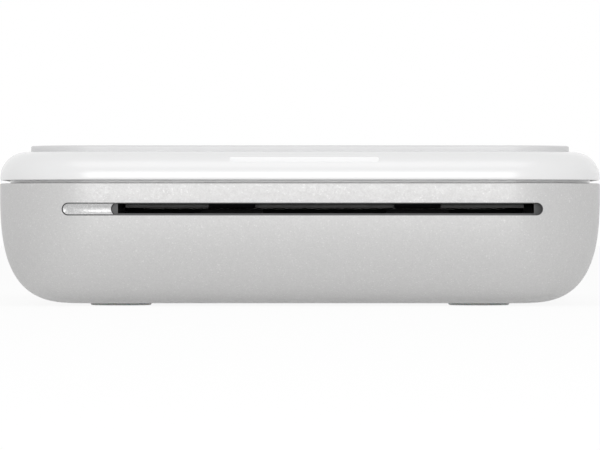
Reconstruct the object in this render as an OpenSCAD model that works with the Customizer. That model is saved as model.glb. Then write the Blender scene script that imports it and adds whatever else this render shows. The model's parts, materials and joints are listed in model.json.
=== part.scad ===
// Compact photo printer with a hinged paper cover.
// Millimetres. +X is to the right of the front face, +Y runs to the back, +Z is up.
// The origin is the centre of the footprint, on the table.

/* [Body] */
// Width across the front
body_w = 78.3; // [77.5:0.1:84]
// Depth from the front face to the back face
body_d = 118.3; // [118:0.1:126]
// Radius of the body's corners, seen from above
corner_r = 12.5; // [11.5:0.1:13.5]
// Height of the base above its flat bottom
base_h = 15.6; // [15.4:0.05:16.2]
// How far the bottom edge of the base curves in
belly_in = 10.7; // [9:0.1:11]
// Wall of the base and of the cover
wall = 1.6; // [1.4:0.05:1.7]
// How far the rubber feet stand out below the base
foot_out = 0.3; // [0.2:0.05:0.6]
// Radius of a rubber foot
foot_r = 4; // [3:0.1:5]

/* [Cover] */
// Height of the cover's rim, without the raised panel
cover_h = 3.7; // [3.6:0.05:4.2]
// Radius of the cover's rounded top edge
cover_edge_r = 3.4; // [3:0.05:3.5]
// Thickness of the cover's flat top
cover_top = 1.25; // [1.1:0.05:1.35]
// Seam between the base and the cover
seam = 0.4; // [0.3:0.05:0.6]
// Thickness of the raised panel
panel_t = 0.78; // [0.6:0.02:1.2]
// Radius of the raised panel's corners
panel_r = 8; // [6:0.5:10]
// Strip of the cover that shows beside the raised panel
panel_in = 4.05; // [4:0.05:6]
// Width of the thumb scoop in the cover's front edge
scoop_w = 19.3; // [14:0.1:24]
// Distance from the back face to the hinge pins
hinge_in = 13.65; // [13:0.05:14]
// Radius of a hinge pin
hinge_pin_r = 0.6; // [0.5:0.05:0.7]

/* [Paper path] */
// Width of a sheet
paper_w = 50.8; // [50:0.1:51]
// Length of a sheet
paper_l = 76.2; // [75:0.1:76.5]
// How far the paper runs to the right of the middle
paper_x = 3.2; // [2.8:0.05:3.4]
// Height of the paper path above the table
path_z = 12.54; // [12.4:0.02:12.6]
// Height of the paper slot
slot_h = 1.62; // [1.4:0.01:1.8]
// Room beside the sheet at each edge
paper_gap = 0.8; // [0.6:0.05:0.8]
// Depth of the stadium-shaped recess round the slot
recess_deep = 0.5; // [0.3:0.05:0.7]
// Length of the status window at the left end of the recess
lens_w = 6.4; // [5:0.1:6.4]

/* [Rollers] */
// Radius of the platen roller
platen_r = 3.5; // [3.3:0.05:3.6]
// Radius of the exit roller's tyres
exit_r = 2; // [1.8:0.05:2]
// Radius of the pick roller's tyres
pick_r = 3.4; // [3.2:0.05:3.5]
// How far the pick tyres stand above the tray's floor
pick_out = 0.7; // [0.5:0.05:0.8]
// Radius of the platen and pick shafts
shaft_r = 1; // [0.9:0.05:1.2]
// Distance from the front face to the print line
print_in = 13.15; // [13.1:0.05:13.3]
// Radial clearance of a shaft in its bore
run_gap = 0.05; // [0.03:0.01:0.08]
// Travel of the pressure plate, which is the height of a full paper stack
stack_h = 2.4; // [1.5:0.1:2.5]

/* [Power] */
// Length of the battery along X
battery_w = 44; // [38:0.5:46]
// Length of the battery along Y
battery_l = 34; // [28:0.5:35]
// Thickness of the battery
battery_t = 6; // [5:0.1:6.5]
// Radius of the motor
motor_r = 4; // [3.7:0.05:4]
// Length of the motor
motor_l = 15; // [12:0.5:18]
// Radius of the power button
button_r = 2.2; // [1.8:0.1:2.6]
// Travel of the power button
button_travel = 0.4; // [0.2:0.05:0.5]

/* [Hidden] */

$fn = 64;
hull_fn = 32;
slice = 0.01;      // thickness of a slice that a hull joins to the next
fit = 0.02;        // clearance round a piece that is pressed into its seat
seat = 0.1;        // clearance between parts that lie side by side
eps = 0.01;

// Outer shell
base_z = foot_out;
base_top = base_z + base_h;
cover_z = base_top + seam;
cover_top_z = cover_z + cover_h;
ceiling_z = cover_top_z - cover_top;
front_y = -body_d / 2;
back_y = body_d / 2;
edge_round = 0.2;
belly_power = 3;   // exponent of the curve that the base's side follows
belly_steps = 10;
cover_steps = 6;

// Hinge of the cover
barrel_r = cover_h / 2;
hinge_y = back_y - hinge_in;
hinge_z = cover_z + barrel_r;
hinge_x = 30;
post_w = 4;
post_r = 1.2;
post_gap = 0.15;
hinge_pin_l = 10;
barrel_solid = 3;  // the cover is solid for this far in front of the hinge
cap_gap = 0.3;
cap_y = hinge_y + barrel_r + cap_gap;
cap_wall = 1.2;
cap_boss_r = 1.6;
cap_screw_x = 24;
cap_screw_y = cap_y + 4;

// Lip inside the cover's wall that closes the seam
seam_lip_in = 1.3;
seam_lip_t = 0.6;
seam_lip_gap = 0.05;
seam_lip_h = 1.05;
hinge_clear = 3.5; // the seam's lip and the frame's tongue stop this far in front of the hinge

// Paper path
tray_drop = 0.94;  // the tray's floor lies this far below the print line
feed_gap = 5;      // from the print line to the tray
slot_room = 1.225; // room beside the sheet in the slot
slot_spare = 0.27; // the slot runs this much further at its right end
sheet_room = 2;    // room behind the sheet
floor_z = path_z - tray_drop;
floor_t = 1;
tray_half = paper_w / 2 + paper_gap;
tray_l = paper_x - tray_half;
tray_r = paper_x + tray_half;
tray_wall = 1.2;
print_y = front_y + print_in;
tray_front = print_y + feed_gap;
tray_back = tray_front + paper_l + sheet_room;
sill_h = 0.7;
slot_l = paper_x - paper_w / 2 - slot_room;
slot_r = paper_x + paper_w / 2 + slot_room + slot_spare;
recess_l = slot_l - lens_w - 0.78;
recess_r = slot_r + 1.1;
mouth_l = slot_l - slot_h / 2;
mouth_deep = wall - 0.45; // the slot's round ends are cut nearly through the wall

// Frame
deck_t = 1.2;
deck_z = base_top - deck_t;
deck_in = wall + 0.15;
tongue_in = wall + 0.4;
tongue_t = 0.8;
tongue_h = 1;
plate_t = 0.8;
plate_l = tray_l - tray_wall - plate_t;
plate_r = tray_r + tray_wall;
plate_front = print_y - 9.3;
hump_l = plate_l - 2.4;
hump_r = plate_r + plate_t + 2.4;
hump_top = ceiling_z - 0.55;
hump_t = 0.8;
hump_front = front_y + 3.65;
hump_back = tray_front - 0.5;
boss_x = body_w / 2 - 3.55;
boss_r = 1.5;
boss_y = [front_y + 15.15, -2, hinge_y - 5.5];
board_boss_r = 1.6;
screw_r = 0.5;
screw_head_r = 1.1;
screw_head_t = 0.5;

// Gear train: centres are [y, z], each gear layer is [x of its inner face, width]
pressure_angle = 20;
backlash = 0.12;
addendum = 0.8;
dedendum = 1.1;
feed_m = 0.5;
mid_m = 0.4;
motor_m = 0.3;
feed_n = 16;
exit_n = 9;
exit_idler_n = 10;
pinion_n = 12;
wheel_b_n = 24;
wheel_a_n = 30;
motor_n = 10;
axle_r = 0.75;
layer_1 = [plate_l - 0.5, 1.6];
layer_2 = [layer_1[0] - layer_1[1] - 0.6, 1.5];
layer_3 = [layer_2[0] - layer_2[1] - 0.5, 1.4];

function centre_distance(m, n1, n2) = m * (n1 + n2) / 2;
function beside(from, dist, z) = [from[0] + sqrt(dist * dist - pow(z - from[1], 2)), z];
function aim(from, to) = atan2(to[1] - from[1], to[0] - from[0]);
// Third corner of a triangle on the side a-b, below the line from a to b
function below(a, b, da, db) =
    let (ab = norm(b - a), u = (b - a) / ab, along = (da * da - db * db + ab * ab) / (2 * ab))
    a + along * u + sqrt(da * da - along * along) * [-u[1], u[0]];
// Turn of gear b that puts its gaps on the teeth of gear a
function mesh_turn(heading, turn_a, na, nb) = heading + 180 - (180 - (heading - turn_a) * na) / nb;

platen_c = [print_y, path_z - platen_r];
exit_c = [print_y - 7, path_z - exit_r];
pick_z = floor_z + pick_out - pick_r;
feed_d = centre_distance(feed_m, feed_n, feed_n);
pick_c = beside(platen_c, 2 * feed_d, pick_z);
idler_c = (platen_c + pick_c) / 2;
gear_b_c = beside(pick_c, centre_distance(feed_m, feed_n, pinion_n), pick_z);
gear_a_c = beside(gear_b_c, centre_distance(mid_m, wheel_b_n, pinion_n), pick_z);
motor_z = base_z + wall + 0.4 + motor_r;
motor_c = beside(gear_a_c, centre_distance(motor_m, wheel_a_n, motor_n), motor_z);
exit_idler_c = below(platen_c, exit_c, centre_distance(feed_m, feed_n, exit_idler_n),
                     centre_distance(feed_m, exit_idler_n, exit_n));

idler_turn = mesh_turn(aim(platen_c, idler_c), 0, feed_n, feed_n);
pick_turn = mesh_turn(aim(idler_c, pick_c), idler_turn, feed_n, feed_n);
gear_b_turn = mesh_turn(aim(pick_c, gear_b_c), pick_turn, feed_n, pinion_n);
gear_a_turn = mesh_turn(aim(gear_b_c, gear_a_c), 0, wheel_b_n, pinion_n);
motor_turn = mesh_turn(aim(gear_a_c, motor_c), 0, wheel_a_n, motor_n);
exit_idler_turn = mesh_turn(aim(platen_c, exit_idler_c), 0, feed_n, exit_idler_n);
exit_turn = mesh_turn(aim(exit_idler_c, exit_c), exit_idler_turn, exit_idler_n, exit_n);

// Shafts
motor_screw_z = 2.9;
motor_shaft_r = 0.5;
shaft_left = layer_1[0] - layer_1[1] - 0.1;
shaft_right = plate_r + plate_t + 0.6;
bush_r = 1.9;
exit_shaft_r = 0.75;
pinch_shaft_r = 0.5;
pinch_r = 1.2;
pinch_c = [exit_c[0], path_z + 0.06 + pinch_r];
tyre_w = 6;
tyre_x = 9;
pinch_in = 9;
exit_in = 8;
exit_tyre_w = 8;

// Print head
head_gap = 0.15;
head_t = 0.65;
head_front = print_y - 4.2;
head_half = tray_half - 0.3;
head_z = path_z + head_gap;
sink_z = head_z + head_t;
sink_t = 1.2;
sink_top = sink_z + sink_t;
head_pin_r = 0.6;
head_pivot = [print_y + 4.2, sink_z + sink_t / 2];
head_spring_x = 16;
head_spring_y = print_y - 2.7;
bridge_t = 0.6;
bridge_z = hump_top - hump_t - 0.2 - bridge_t;
bridge_front = print_y - 5.5;
bridge_back = print_y - 0.5;

// Pressure plate that hangs below the cover
presser_z = floor_z + pick_out + 0.2;
presser_t = 0.8;
presser_half = 24;
presser_front = tray_front + 5;
presser_l = 59;
presser_back = presser_front + presser_l;
presser_flange_h = 2.9;
lip_w = 0.8;
lip_t = 0.6;
rail_t = 0.6;
rail_gap = 0.35;
rail_w = 6;
rail_in = 4;       // from the plate's front edge to the first clip, and behind the last clip
presser_spring_r = 2.3;
presser_spring_x = 14;
presser_spring_y = 22;
spring_seat_r = 1.4;
spring_seat_h = 0.7;

// Magnets in the cover and the steel pins that they hold
magnet_x = body_w / 2 - 6.2;
magnet_y = hump_back + 4;
magnet_r = 1.5;
magnet_gap = 0.15;
keeper_top = ceiling_z - 1.15;

// Paper flag
flag_x = paper_x + 6.8;
flag_c = [gear_a_c[0] - 0.2, floor_z - 2.6];
flag_pin_r = 0.6;
flag_tip = [-3.5, 2.9];
flag_tail = [3, -3.5];
flag_w = 1.6;
sensor_y = flag_c[0] + 1.2;
sensor_z = flag_c[1] - 5.1;

// Battery, boards and controls at the back
pad_t = 0.4;
pad_in = 3;
floor_in = base_z + wall;
battery_x = 2;
battery_gap = 9.4; // from the motor's axis to the battery
battery_y = motor_c[0] + battery_gap + battery_l / 2;
battery_back = battery_y + battery_l / 2;
battery_z = floor_in + pad_t;
battery_lead_x = battery_x + 14;
board_x = 30;
board_gap = 0.6;   // from the tray to the main board
lead_room = 5.5;   // least room between the battery and the main board
board_front = max(tray_back + tray_wall + board_gap, battery_back + lead_room);
board_back = back_y - 4.2;
board_mid = (board_front + board_back) / 2;
board_z = 7;
board_t = 0.8;
board_top = board_z + board_t;
board_hole_x = board_x - 2.5;
connector_in = 1.5;
connector_d = 2.5;
connector_h = 2.2;
connector_w = 6;
lead_h = 1.1;      // height of a lead over the board
motor_lead_r = 0.5;
battery_lead_r = 0.6;
lead_x = battery_x - battery_w / 2 - 2.6;
motor_lead_x = lead_x + 1.6;
// Chips: [left side, front side from the board's middle, width, depth, height]
chips = [[-12, -5, 9, 8, 1], [0, -4, 7, 6, 0.9], [12, -3, 4, 4, 0.8], [19, -1, 4, 4, 2]];
shield = [-25, connector_in + connector_d + 0.5, 10, 8.5, 1.8]; // its front side is from the board's front
board_hole_y = [board_front + 2.2, board_back - 2.6];

// Flat cable of the print head
flex_x = plate_r + plate_t + 1.2;
flex_t = 0.2;
flex_front = bridge_back + 0.5;
flex_back = head_pivot[0] - 1.4;
flex_end_y = board_front + 4.6;
flex_high = deck_z - 2.7;
flex_low = flex_high - 6;
flex_plug_w = 6;
flex_plug_d = 2.4;
flex_plug_h = 1.2;
inner_back = back_y - wall;
control_z = 9.3;
power_x = -12;
reset_x = 4;
usb_x = 12;
light_x = 20;
usb_w = 7.5;
usb_h = 2.5;
usb_l = 5.6;
button_flange = 0.6;
button_flange_t = 0.65;
button_in = 0.05;
button_stem = 0.5;
reset_travel = 0.25;

// How far the base's inner wall lies inside the outline at height z
function wall_in(z) =
    let (t = (base_top - z) / (base_top - floor_in))
    wall + belly_in * (1 - pow(1 - pow(t, belly_power), 1 / belly_power));

flange_y = back_y - wall_in(control_z - button_r - button_flange) - 0.15;

// Colours
silver = [0.80, 0.80, 0.79];
white = [0.93, 0.93, 0.93];
panel_grey = [0.86, 0.86, 0.87];
black = [0.09, 0.09, 0.10];
dark = [0.16, 0.16, 0.17];
steel = [0.62, 0.63, 0.65];
clear_silicone = [0.82, 0.82, 0.82];
gear_white = [0.88, 0.87, 0.82];
board_green = [0.10, 0.35, 0.20];

// ---------- shared shapes ----------

// Convex solid through slices of the rounded rectangle; each level is [z, inset from the outline]
module rounded_stack(levels) {
    hull() {
        for (level = levels, sx = [-1, 1], sy = [-1, 1]) {
            translate([sx * (body_w / 2 - corner_r), sy * (body_d / 2 - corner_r), level[0]])
                cylinder(r = corner_r - level[1], h = slice, $fn = hull_fn);
        }
    }
}

// Levels of the base's side from the flat bottom at z0 to the rim at z1
function belly(z0, z1, extra) = [
    for (i = [0 : belly_steps])
        let (a = 90 * i / belly_steps)
        [z1 - (z1 - z0) * pow(sin(a), 2 / belly_power),
         extra + belly_in * (1 - pow(max(cos(a), 0), 2 / belly_power))]
];

// Levels of the cover's rounded top edge
function dome(z0, r, extra) = [
    for (i = [0 : cover_steps])
        let (a = 90 * i / cover_steps)
        [z0 + r * sin(a) - slice, extra + r * (1 - cos(a))]
];

module base_outer() {
    rounded_stack(concat(belly(base_z, base_top - edge_round, 0), [[base_top - slice, edge_round]]));
}

module base_inner() {
    rounded_stack(concat(belly(base_z + wall, base_top, wall), [[base_top + 1, wall]]));
}

module cover_outer() {
    rounded_stack(concat([[cover_z, 0.1]], dome(cover_top_z - cover_edge_r, cover_edge_r, 0)));
}

module cover_inner() {
    inner_r = cover_edge_r - cover_top;
    rounded_stack(concat([[cover_z - 1, wall]], dome(ceiling_z - inner_r, inner_r, wall)));
}

// Flat rounded rectangle with the body's outline moved in
module outline(inset) {
    w = body_w - 2 * inset;
    d = body_d - 2 * inset;
    r = corner_r - inset;
    square([w - 2 * r, d], center = true);
    square([w, d - 2 * r], center = true);
    for (sx = [-1, 1], sy = [-1, 1])
        translate([sx * (w / 2 - r), sy * (d / 2 - r)]) circle(r);
}

// Block between two corners
module block(low, high) {
    translate(low) cube(high - low);
}

// Round bar along X from x0 to x1, centred on c = [y, z]
module bar(c, r, x0, x1) {
    translate([min(x0, x1), c[0], c[1]]) rotate([0, 90, 0]) cylinder(r = r, h = abs(x1 - x0));
}

// Ring along X
module ring(c, r, bore, x0, x1) {
    difference() {
        bar(c, r, x0, x1);
        bar(c, bore, min(x0, x1) - 1, max(x0, x1) + 1);
    }
}

// Round-ended prism along Y: the stadium lies in X and Z
module stadium(x0, x1, z, h, y0, y1) {
    r = h / 2;
    translate([0, y1, 0]) rotate([90, 0, 0]) linear_extrude(y1 - y0) {
        translate([x0 + r, z - r]) square([x1 - x0 - h, h]);
        for (x = [x0 + r, x1 - r]) translate([x, z]) circle(r);
    }
}

// Bar along Y from y0 to y1
module y_bar(x, z, r, y0, y1) {
    translate([x, y0, z]) rotate([-90, 0, 0]) cylinder(r = r, h = y1 - y0);
}

module post(x, y, r, z0, z1) {
    translate([x, y, z0]) cylinder(r = r, h = z1 - z0);
}

function involute(r, rb) = r <= rb ? 0 : let (t = sqrt(pow(r / rb, 2) - 1)) t * 180 / PI - atan(t);

function tooth_half(m, n, r) =
    let (rp = m * n / 2, rb = rp * cos(pressure_angle))
    90 / n - backlash / (4 * rp) * 180 / PI + involute(rp, rb) - involute(r, rb);

// Outline of a spur gear, one tooth centred on the angle turn
function gear_points(m, n, turn) =
    let (rp = m * n / 2, rr = rp - dedendum * m, rb = max(rp * cos(pressure_angle), rr + 0.05 * m),
         radii = [rr, rb, rp, rp + addendum * m])
    [for (i = [0 : n - 1], k = [0 : 7])
        let (r = radii[k < 4 ? k : 7 - k], a = turn + 360 * i / n + (k < 4 ? -1 : 1) * tooth_half(m, n, r))
        [r * cos(a), r * sin(a)]];

// Spur gear about an axis along X; layer is [x of its right face, width]
module gear(c, m, n, layer, turn, bore) {
    translate([layer[0] - layer[1], c[0], c[1]]) rotate([90, 0, 90]) linear_extrude(layer[1])
        difference() {
            polygon(gear_points(m, n, turn));
            circle(bore);
        }
}

// Faces of a tube of k rings with n sides each, closed at both ends
function tube_faces(k, n) = concat(
    [[for (j = [0 : n - 1]) n - 1 - j]],
    [for (i = [0 : k - 2], j = [0 : n - 1]) [i * n + j, i * n + (j + 1) % n, (i + 1) * n + (j + 1) % n]],
    [for (i = [0 : k - 2], j = [0 : n - 1]) [i * n + j, (i + 1) * n + (j + 1) % n, (i + 1) * n + j]],
    [[for (j = [0 : n - 1]) (k - 1) * n + j]]
);

// Coil spring about +Z: rings of wire stand square to the helix
module coil(r, wire, h, turns) {
    steps = 8 * turns;
    sides = 6;
    rise = h - 2 * wire;
    pts = [for (i = [0 : steps], j = [0 : sides - 1])
        let (a = 360 * i / 8, b = 360 * j / sides, q = r + wire * cos(b))
        [q * cos(a), q * sin(a), wire + rise * i / steps + wire * sin(b)]];
    polyhedron(points = pts, faces = tube_faces(steps + 1, sides), convexity = 4);
}

// Soft lead through points that lie one after another
function heading(path, i) =
    let (d = path[min(i + 1, len(path) - 1)] - path[max(i - 1, 0)]) d / norm(d);

module lead(path, r) {
    sides = 8;
    pts = [for (i = [0 : len(path) - 1], j = [0 : sides - 1])
        let (t = heading(path, i), s0 = cross(t, abs(t[2]) > 0.9 ? [0, 1, 0] : [0, 0, 1]),
             s = s0 / norm(s0), u = cross(s, t), a = -360 * j / sides)
        path[i] + r * (cos(a) * s + sin(a) * u)];
    polyhedron(points = pts, faces = tube_faces(len(path), sides), convexity = 4);
}

// ---------- outer shells ----------

module base_housing() {
    color(silver) difference() {
        union() {
            difference() {
                base_outer();
                base_inner();
            }
            intersection() {
                base_outer();
                base_insides();
            }
        }
        front_recess();
        block([slot_l, front_y - 1, path_z - slot_h / 2], [slot_r, front_y + wall + 1, path_z + slot_h / 2]);
        window(0, front_y - 1, front_y + corner_r);
        rear_openings();
        for (x = [-1, 1], y = boss_y) post(x * boss_x, y, screw_r, deck_z - 5, deck_z + 1);
        for (x = [-1, 1], y = board_hole_y) post(x * board_hole_x, y, screw_r, board_z - 4, board_z + 1);
        foot_places(foot_r + fit, base_z - 1, base_z + 0.5);
    }
}

// Bosses, ribs and seats that stand up from the floor
module base_insides() {
    low = base_z + wall / 2;
    for (x = [-1, 1], y = boss_y) post(x * boss_x, y, boss_r, low, deck_z);
    for (x = [-1, 1], y = board_hole_y) post(x * board_hole_x, y, board_boss_r, low, board_z);
    block([recess_l - 0.8, plate_front - 0.15, low],
          [layer_1[0] - layer_1[1] - 0.3, plate_front + 0.45, path_z - 1]);
    block([flag_x - 2.4, sensor_y, low], [flag_x + 2.4, sensor_y + 3.4, sensor_z]);
    for (x = [battery_x - battery_w / 2 - 1.1, battery_x + battery_w / 2 + 0.3])
        block([x, battery_y - 8, low], [x + 0.8, battery_y + 8, floor_in + 2.5]);
    for (x = [power_x, reset_x])
        block([x - 1.4, board_back + 0.1, low], [x + 1.4, inner_back + 0.4, board_z - 1.2]);
}

// Shallow groove over the window and the slot, which is deeper along the slot
module front_recess() {
    for (part = [[recess_l, recess_deep], [mouth_l, mouth_deep]])
        difference() {
            stadium(part[0], recess_r, path_z, slot_h, front_y - 1, front_y + corner_r);
            rounded_stack(belly(base_z + part[1], base_top, part[1]));
        }
}

// Bar of the status window: its right end is hollowed to make room for the slot's round end
module window(gap, y0, y1) {
    difference() {
        stadium(recess_l + gap, slot_l, path_z, slot_h - 2 * gap, y0, y1);
        stadium(mouth_l - gap, recess_r, path_z, slot_h + 2 * gap, y0 - 1, y1 + 1);
    }
}

module rear_openings() {
    stadium(usb_x - usb_w / 2 - 0.3, usb_x + usb_w / 2 + 0.3, board_top + usb_h / 2, usb_h + 0.6,
            inner_back - 1, back_y + 1);
    y_bar(power_x, control_z, button_r + seat, inner_back - 1, back_y + 1);
    y_bar(reset_x, control_z, 0.5, inner_back - 1, back_y + 1);
    y_bar(light_x, control_z, 0.75 + fit, inner_back - 1, back_y + 1);
}

module foot_places(r, z0, z1) {
    x = body_w / 2 - belly_in - foot_r - 1;
    y = body_d / 2 - belly_in - foot_r - 1;
    for (sx = [-1, 1], sy = [-1, 1]) post(sx * x, sy * y, r, z0, z1);
}

module rubber_feet() {
    color(clear_silicone) foot_places(foot_r, 0, base_z + 0.5);
}

module status_lens() {
    color([0.75, 0.76, 0.78]) intersection() {
        window(fit, front_y, front_y + corner_r);
        difference() {
            rounded_stack(belly(base_z + recess_deep, base_top, recess_deep));
            base_inner();
        }
    }
}

module status_board() {
    y = plate_front - 0.2;
    x = recess_l - 0.4;
    color(board_green) block([x, y - 0.6, path_z - 2.6], [layer_1[0] - layer_1[1] - 0.3, y, path_z + 2]);
    color("white") block([x + 1.2, y - 1.4, path_z - 0.6], [x + 2.8, y - 0.6, path_z + 0.6]);
}

module exit_guide() {
    y0 = front_y + wall;
    half = slot_h / 2;
    color(black) difference() {
        intersection() {
            block([plate_l - 0.2, y0, path_z - 2.1], [plate_r + plate_t + 0.2, plate_front, path_z + 2.1]);
            rounded_stack(belly(floor_in, base_top, wall + fit));
        }
        translate([slot_l, 0, 0]) rotate([90, 0, 90]) linear_extrude(slot_r - slot_l)
            polygon([[y0 - 1, path_z - half], [y0 - 1, path_z + half], [y0, path_z + half],
                     [plate_front + 1, path_z + half + 0.8], [plate_front + 1, path_z - half - 0.2],
                     [y0, path_z - half]]);
    }
}

module rear_cap() {
    color(white) difference() {
        union() {
            intersection() {
                cover_outer();
                block([-body_w, cap_y, 0], [body_w, body_d, 40]);
            }
            block([-body_w / 2 + 6, cap_y, base_top], [body_w / 2 - 6, cap_y + cap_wall, cover_top_z - 2]);
            intersection() {
                seam_lip();
                block([-body_w, cap_y, 0], [body_w, body_d, 40]);
            }
            for (x = [-1, 1]) post(x * cap_screw_x, cap_screw_y, cap_boss_r, base_top, ceiling_z + 0.1);
        }
        difference() {
            intersection() {
                cover_inner();
                block([-body_w, cap_y + cap_wall, 0], [body_w, body_d, 40]);
            }
            for (x = [-1, 1]) post(x * cap_screw_x, cap_screw_y, cap_boss_r, base_top, ceiling_z + 0.2);
            seam_lip();
        }
        for (x = [-1, 1]) post(x * cap_screw_x, cap_screw_y, screw_r, base_top - 1, base_top + 2);
    }
}

// Ring inside the wall that reaches down to the base's rim
module seam_lip() {
    translate([0, 0, base_top + seam_lip_gap]) linear_extrude(seam_lip_h) difference() {
        outline(seam_lip_in);
        outline(seam_lip_in + seam_lip_t);
    }
}

// ---------- cover ----------

module top_cover() {
    bore_half = hinge_pin_l / 2 + 0.2;
    color(white) difference() {
        intersection() {
            cover_outer();
            union() {
                block([-body_w, -body_d, 0], [body_w, hinge_y, 40]);
                bar([hinge_y, hinge_z], barrel_r, -body_w, body_w);
            }
        }
        intersection() {
            cover_inner();
            block([-body_w, -body_d, 0], [body_w, hinge_y - barrel_solid, 40]);
        }
        hinge_notches();
        for (s = [-1, 1])
            bar([hinge_y, hinge_z], hinge_pin_r + run_gap, s * hinge_x - bore_half, s * hinge_x + bore_half);
        thumb_scoop();
    }
    color(white) intersection() {
        seam_lip();
        block([-body_w, -body_d, 0], [body_w, hinge_y - hinge_clear, 40]);
    }
}

module hinge_notches() {
    half = post_w / 2 + post_gap;
    for (s = [-1, 1]) {
        x0 = s * hinge_x - half;
        bar([hinge_y, hinge_z], post_r + post_gap, x0, x0 + 2 * half);
        block([x0, hinge_y - post_r - post_gap, hinge_z - 3], [x0 + 2 * half, hinge_y, hinge_z]);
        block([x0, hinge_y - eps, hinge_z - 3], [x0 + 2 * half, hinge_y + 3, hinge_z + post_r + post_gap]);
    }
}

// Shallow scoop for a thumbnail in the rounded front edge
module thumb_scoop() {
    z = cover_top_z - 1;
    h = 0.85;
    stadium(-scoop_w / 2 + 0.55, scoop_w / 2 + 0.55, z, h, front_y - 1, front_y + 1.25);
}

module cover_panel() {
    front = front_y + 4.35;
    back = hinge_y - 4;
    w = body_w - 2 * panel_in;
    soft = 0.2;
    levels = [[0, 0], [panel_t - soft, 0], [panel_t - soft * 0.3, soft * 0.3], [panel_t - slice, soft]];
    color(panel_grey) hull() {
        for (level = levels, x = [-1, 1], y = [front + panel_r, back - panel_r])
            translate([x * (w / 2 - panel_r), y, cover_top_z + level[0]])
                cylinder(r = panel_r - level[1], h = slice, $fn = hull_fn);
    }
}

module hinge_pins() {
    color(steel) for (s = [-1, 1])
        bar([hinge_y, hinge_z], hinge_pin_r, s * hinge_x - hinge_pin_l / 2, s * hinge_x + hinge_pin_l / 2);
}

module cover_magnets() {
    color(steel) for (s = [-1, 1]) post(s * magnet_x, magnet_y, magnet_r, keeper_top + magnet_gap, ceiling_z);
}

module magnet_keepers() {
    color(steel) for (s = [-1, 1]) post(s * magnet_x, magnet_y, magnet_r, base_top, keeper_top);
}

// ---------- pressure plate ----------

module presser_plate() {
    color(steel) {
        x0 = paper_x - presser_half;
        x1 = paper_x + presser_half;
        flange_top = presser_z + presser_flange_h;
        block([x0, presser_front, presser_z], [x1, presser_back, presser_z + presser_t]);
        for (s = [-1, 1]) {
            edge = paper_x + s * presser_half;
            inner = edge - s * presser_t;
            outer = edge + s * lip_w;
            block([min(inner, edge), presser_front, presser_z], [max(inner, edge), presser_back, flange_top]);
            block([min(inner, outer), presser_front, flange_top - lip_t],
                  [max(inner, outer), presser_back, flange_top]);
        }
        for (x = [-1, 1], y = [-1, 1])
            post(paper_x + x * presser_spring_x, presser_mid() + y * presser_spring_y,
                 spring_seat_r, presser_z, presser_z + presser_t + spring_seat_h);
    }
}

function presser_mid() = (presser_front + presser_back) / 2;

module presser_rails() {
    foot_top = presser_z + presser_flange_h - lip_t - 0.05;
    color(white) for (s = [-1, 1], y = [presser_front + rail_in, presser_back - rail_in - rail_w]) {
        web = paper_x + s * (presser_half + lip_w + rail_gap);
        far = web + s * rail_t;
        foot = paper_x + s * (presser_half + 0.3);
        block([min(web, far), y, foot_top - rail_t], [max(web, far), y + rail_w, ceiling_z]);
        block([min(foot, far), y, foot_top - rail_t], [max(foot, far), y + rail_w, foot_top]);
    }
}

module presser_springs() {
    z = presser_z + presser_t;
    color(steel) for (x = [-1, 1], y = [-1, 1])
        translate([paper_x + x * presser_spring_x, presser_mid() + y * presser_spring_y, z])
            coil(presser_spring_r, 0.2, ceiling_z - z, 4);
}

// ---------- frame ----------

module mid_frame() {
    color(dark) difference() {
        union() {
            translate([0, 0, deck_z]) linear_extrude(deck_t) outline(deck_in);
            tongue();
            hump();
            tray();
            flag_ears();
            for (s = [-1, 1]) hinge_post(s * hinge_x);
        }
        deck_openings();
        tray_windows();
        for (x = [-1, 1], y = boss_y) {
            post(x * boss_x, y, screw_r + run_gap, deck_z - 1, base_top + 1);
            post(x * boss_x, y, screw_head_r + seat, base_top - screw_head_t, base_top + tongue_h + 1);
        }
        for (x = [-1, 1]) post(x * cap_screw_x, cap_screw_y, screw_r + run_gap, deck_z - 1, base_top + 1);
        for (s = [-1, 1])
            bar([hinge_y, hinge_z], hinge_pin_r + fit, s * hinge_x - post_w, s * hinge_x + post_w);
        bar([flag_c[0], flag_c[1]], flag_pin_r + run_gap, flag_x - 3, flag_x + 3);
    }
}

// Rim that stands inside the cover's wall and closes the seam
module tongue() {
    difference() {
        translate([0, 0, base_top - eps]) linear_extrude(tongue_h + eps) difference() {
            outline(tongue_in);
            outline(tongue_in + tongue_t);
        }
        block([-body_w, hinge_y - hinge_clear, 0], [body_w, cap_y + cap_wall + 0.25, 40]);
    }
}

// Lid over the print head
module hump() {
    difference() {
        hump_block(0, base_top - eps, hump_top);
        hump_block(hump_t, base_top - 1, hump_top - hump_t);
    }
}

// Inside or outside of the hump, which follows the body's round corners
module hump_block(inset, z0, z1) {
    intersection() {
        block([hump_l + inset, hump_front + inset, z0], [hump_r - inset, hump_back - inset, z1]);
        translate([0, 0, z0]) linear_extrude(z1 - z0) outline(tongue_in + tongue_t + 0.15 + inset);
    }
}

module tray() {
    difference() {
        block([tray_l - tray_wall, tray_front, floor_z - floor_t],
              [tray_r + tray_wall, tray_back + tray_wall, deck_z + eps]);
        block([tray_l, tray_front - 1, floor_z], [tray_r, tray_back, deck_z + 1]);
    }
    // sill that lifts the sheet's front edge towards the print line
    translate([tray_l, 0, 0]) rotate([90, 0, 90]) linear_extrude(tray_r - tray_l)
        polygon([[tray_front, floor_z - eps], [tray_front, floor_z + sill_h],
                 [tray_front + 0.5, floor_z + sill_h], [tray_front + 2.5, floor_z - eps]]);
}

module deck_openings() {
    block([tray_l, hump_back, deck_z - 1], [tray_r, tray_back, base_top + 0.5]);
    hump_block(hump_t, deck_z - 1, base_top + 0.5);
    // the sheet passes below the hump's back wall
    block([tray_l, hump_back - hump_t - 0.5, deck_z - 1], [tray_r, hump_back + 0.5, base_top]);
}

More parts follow.
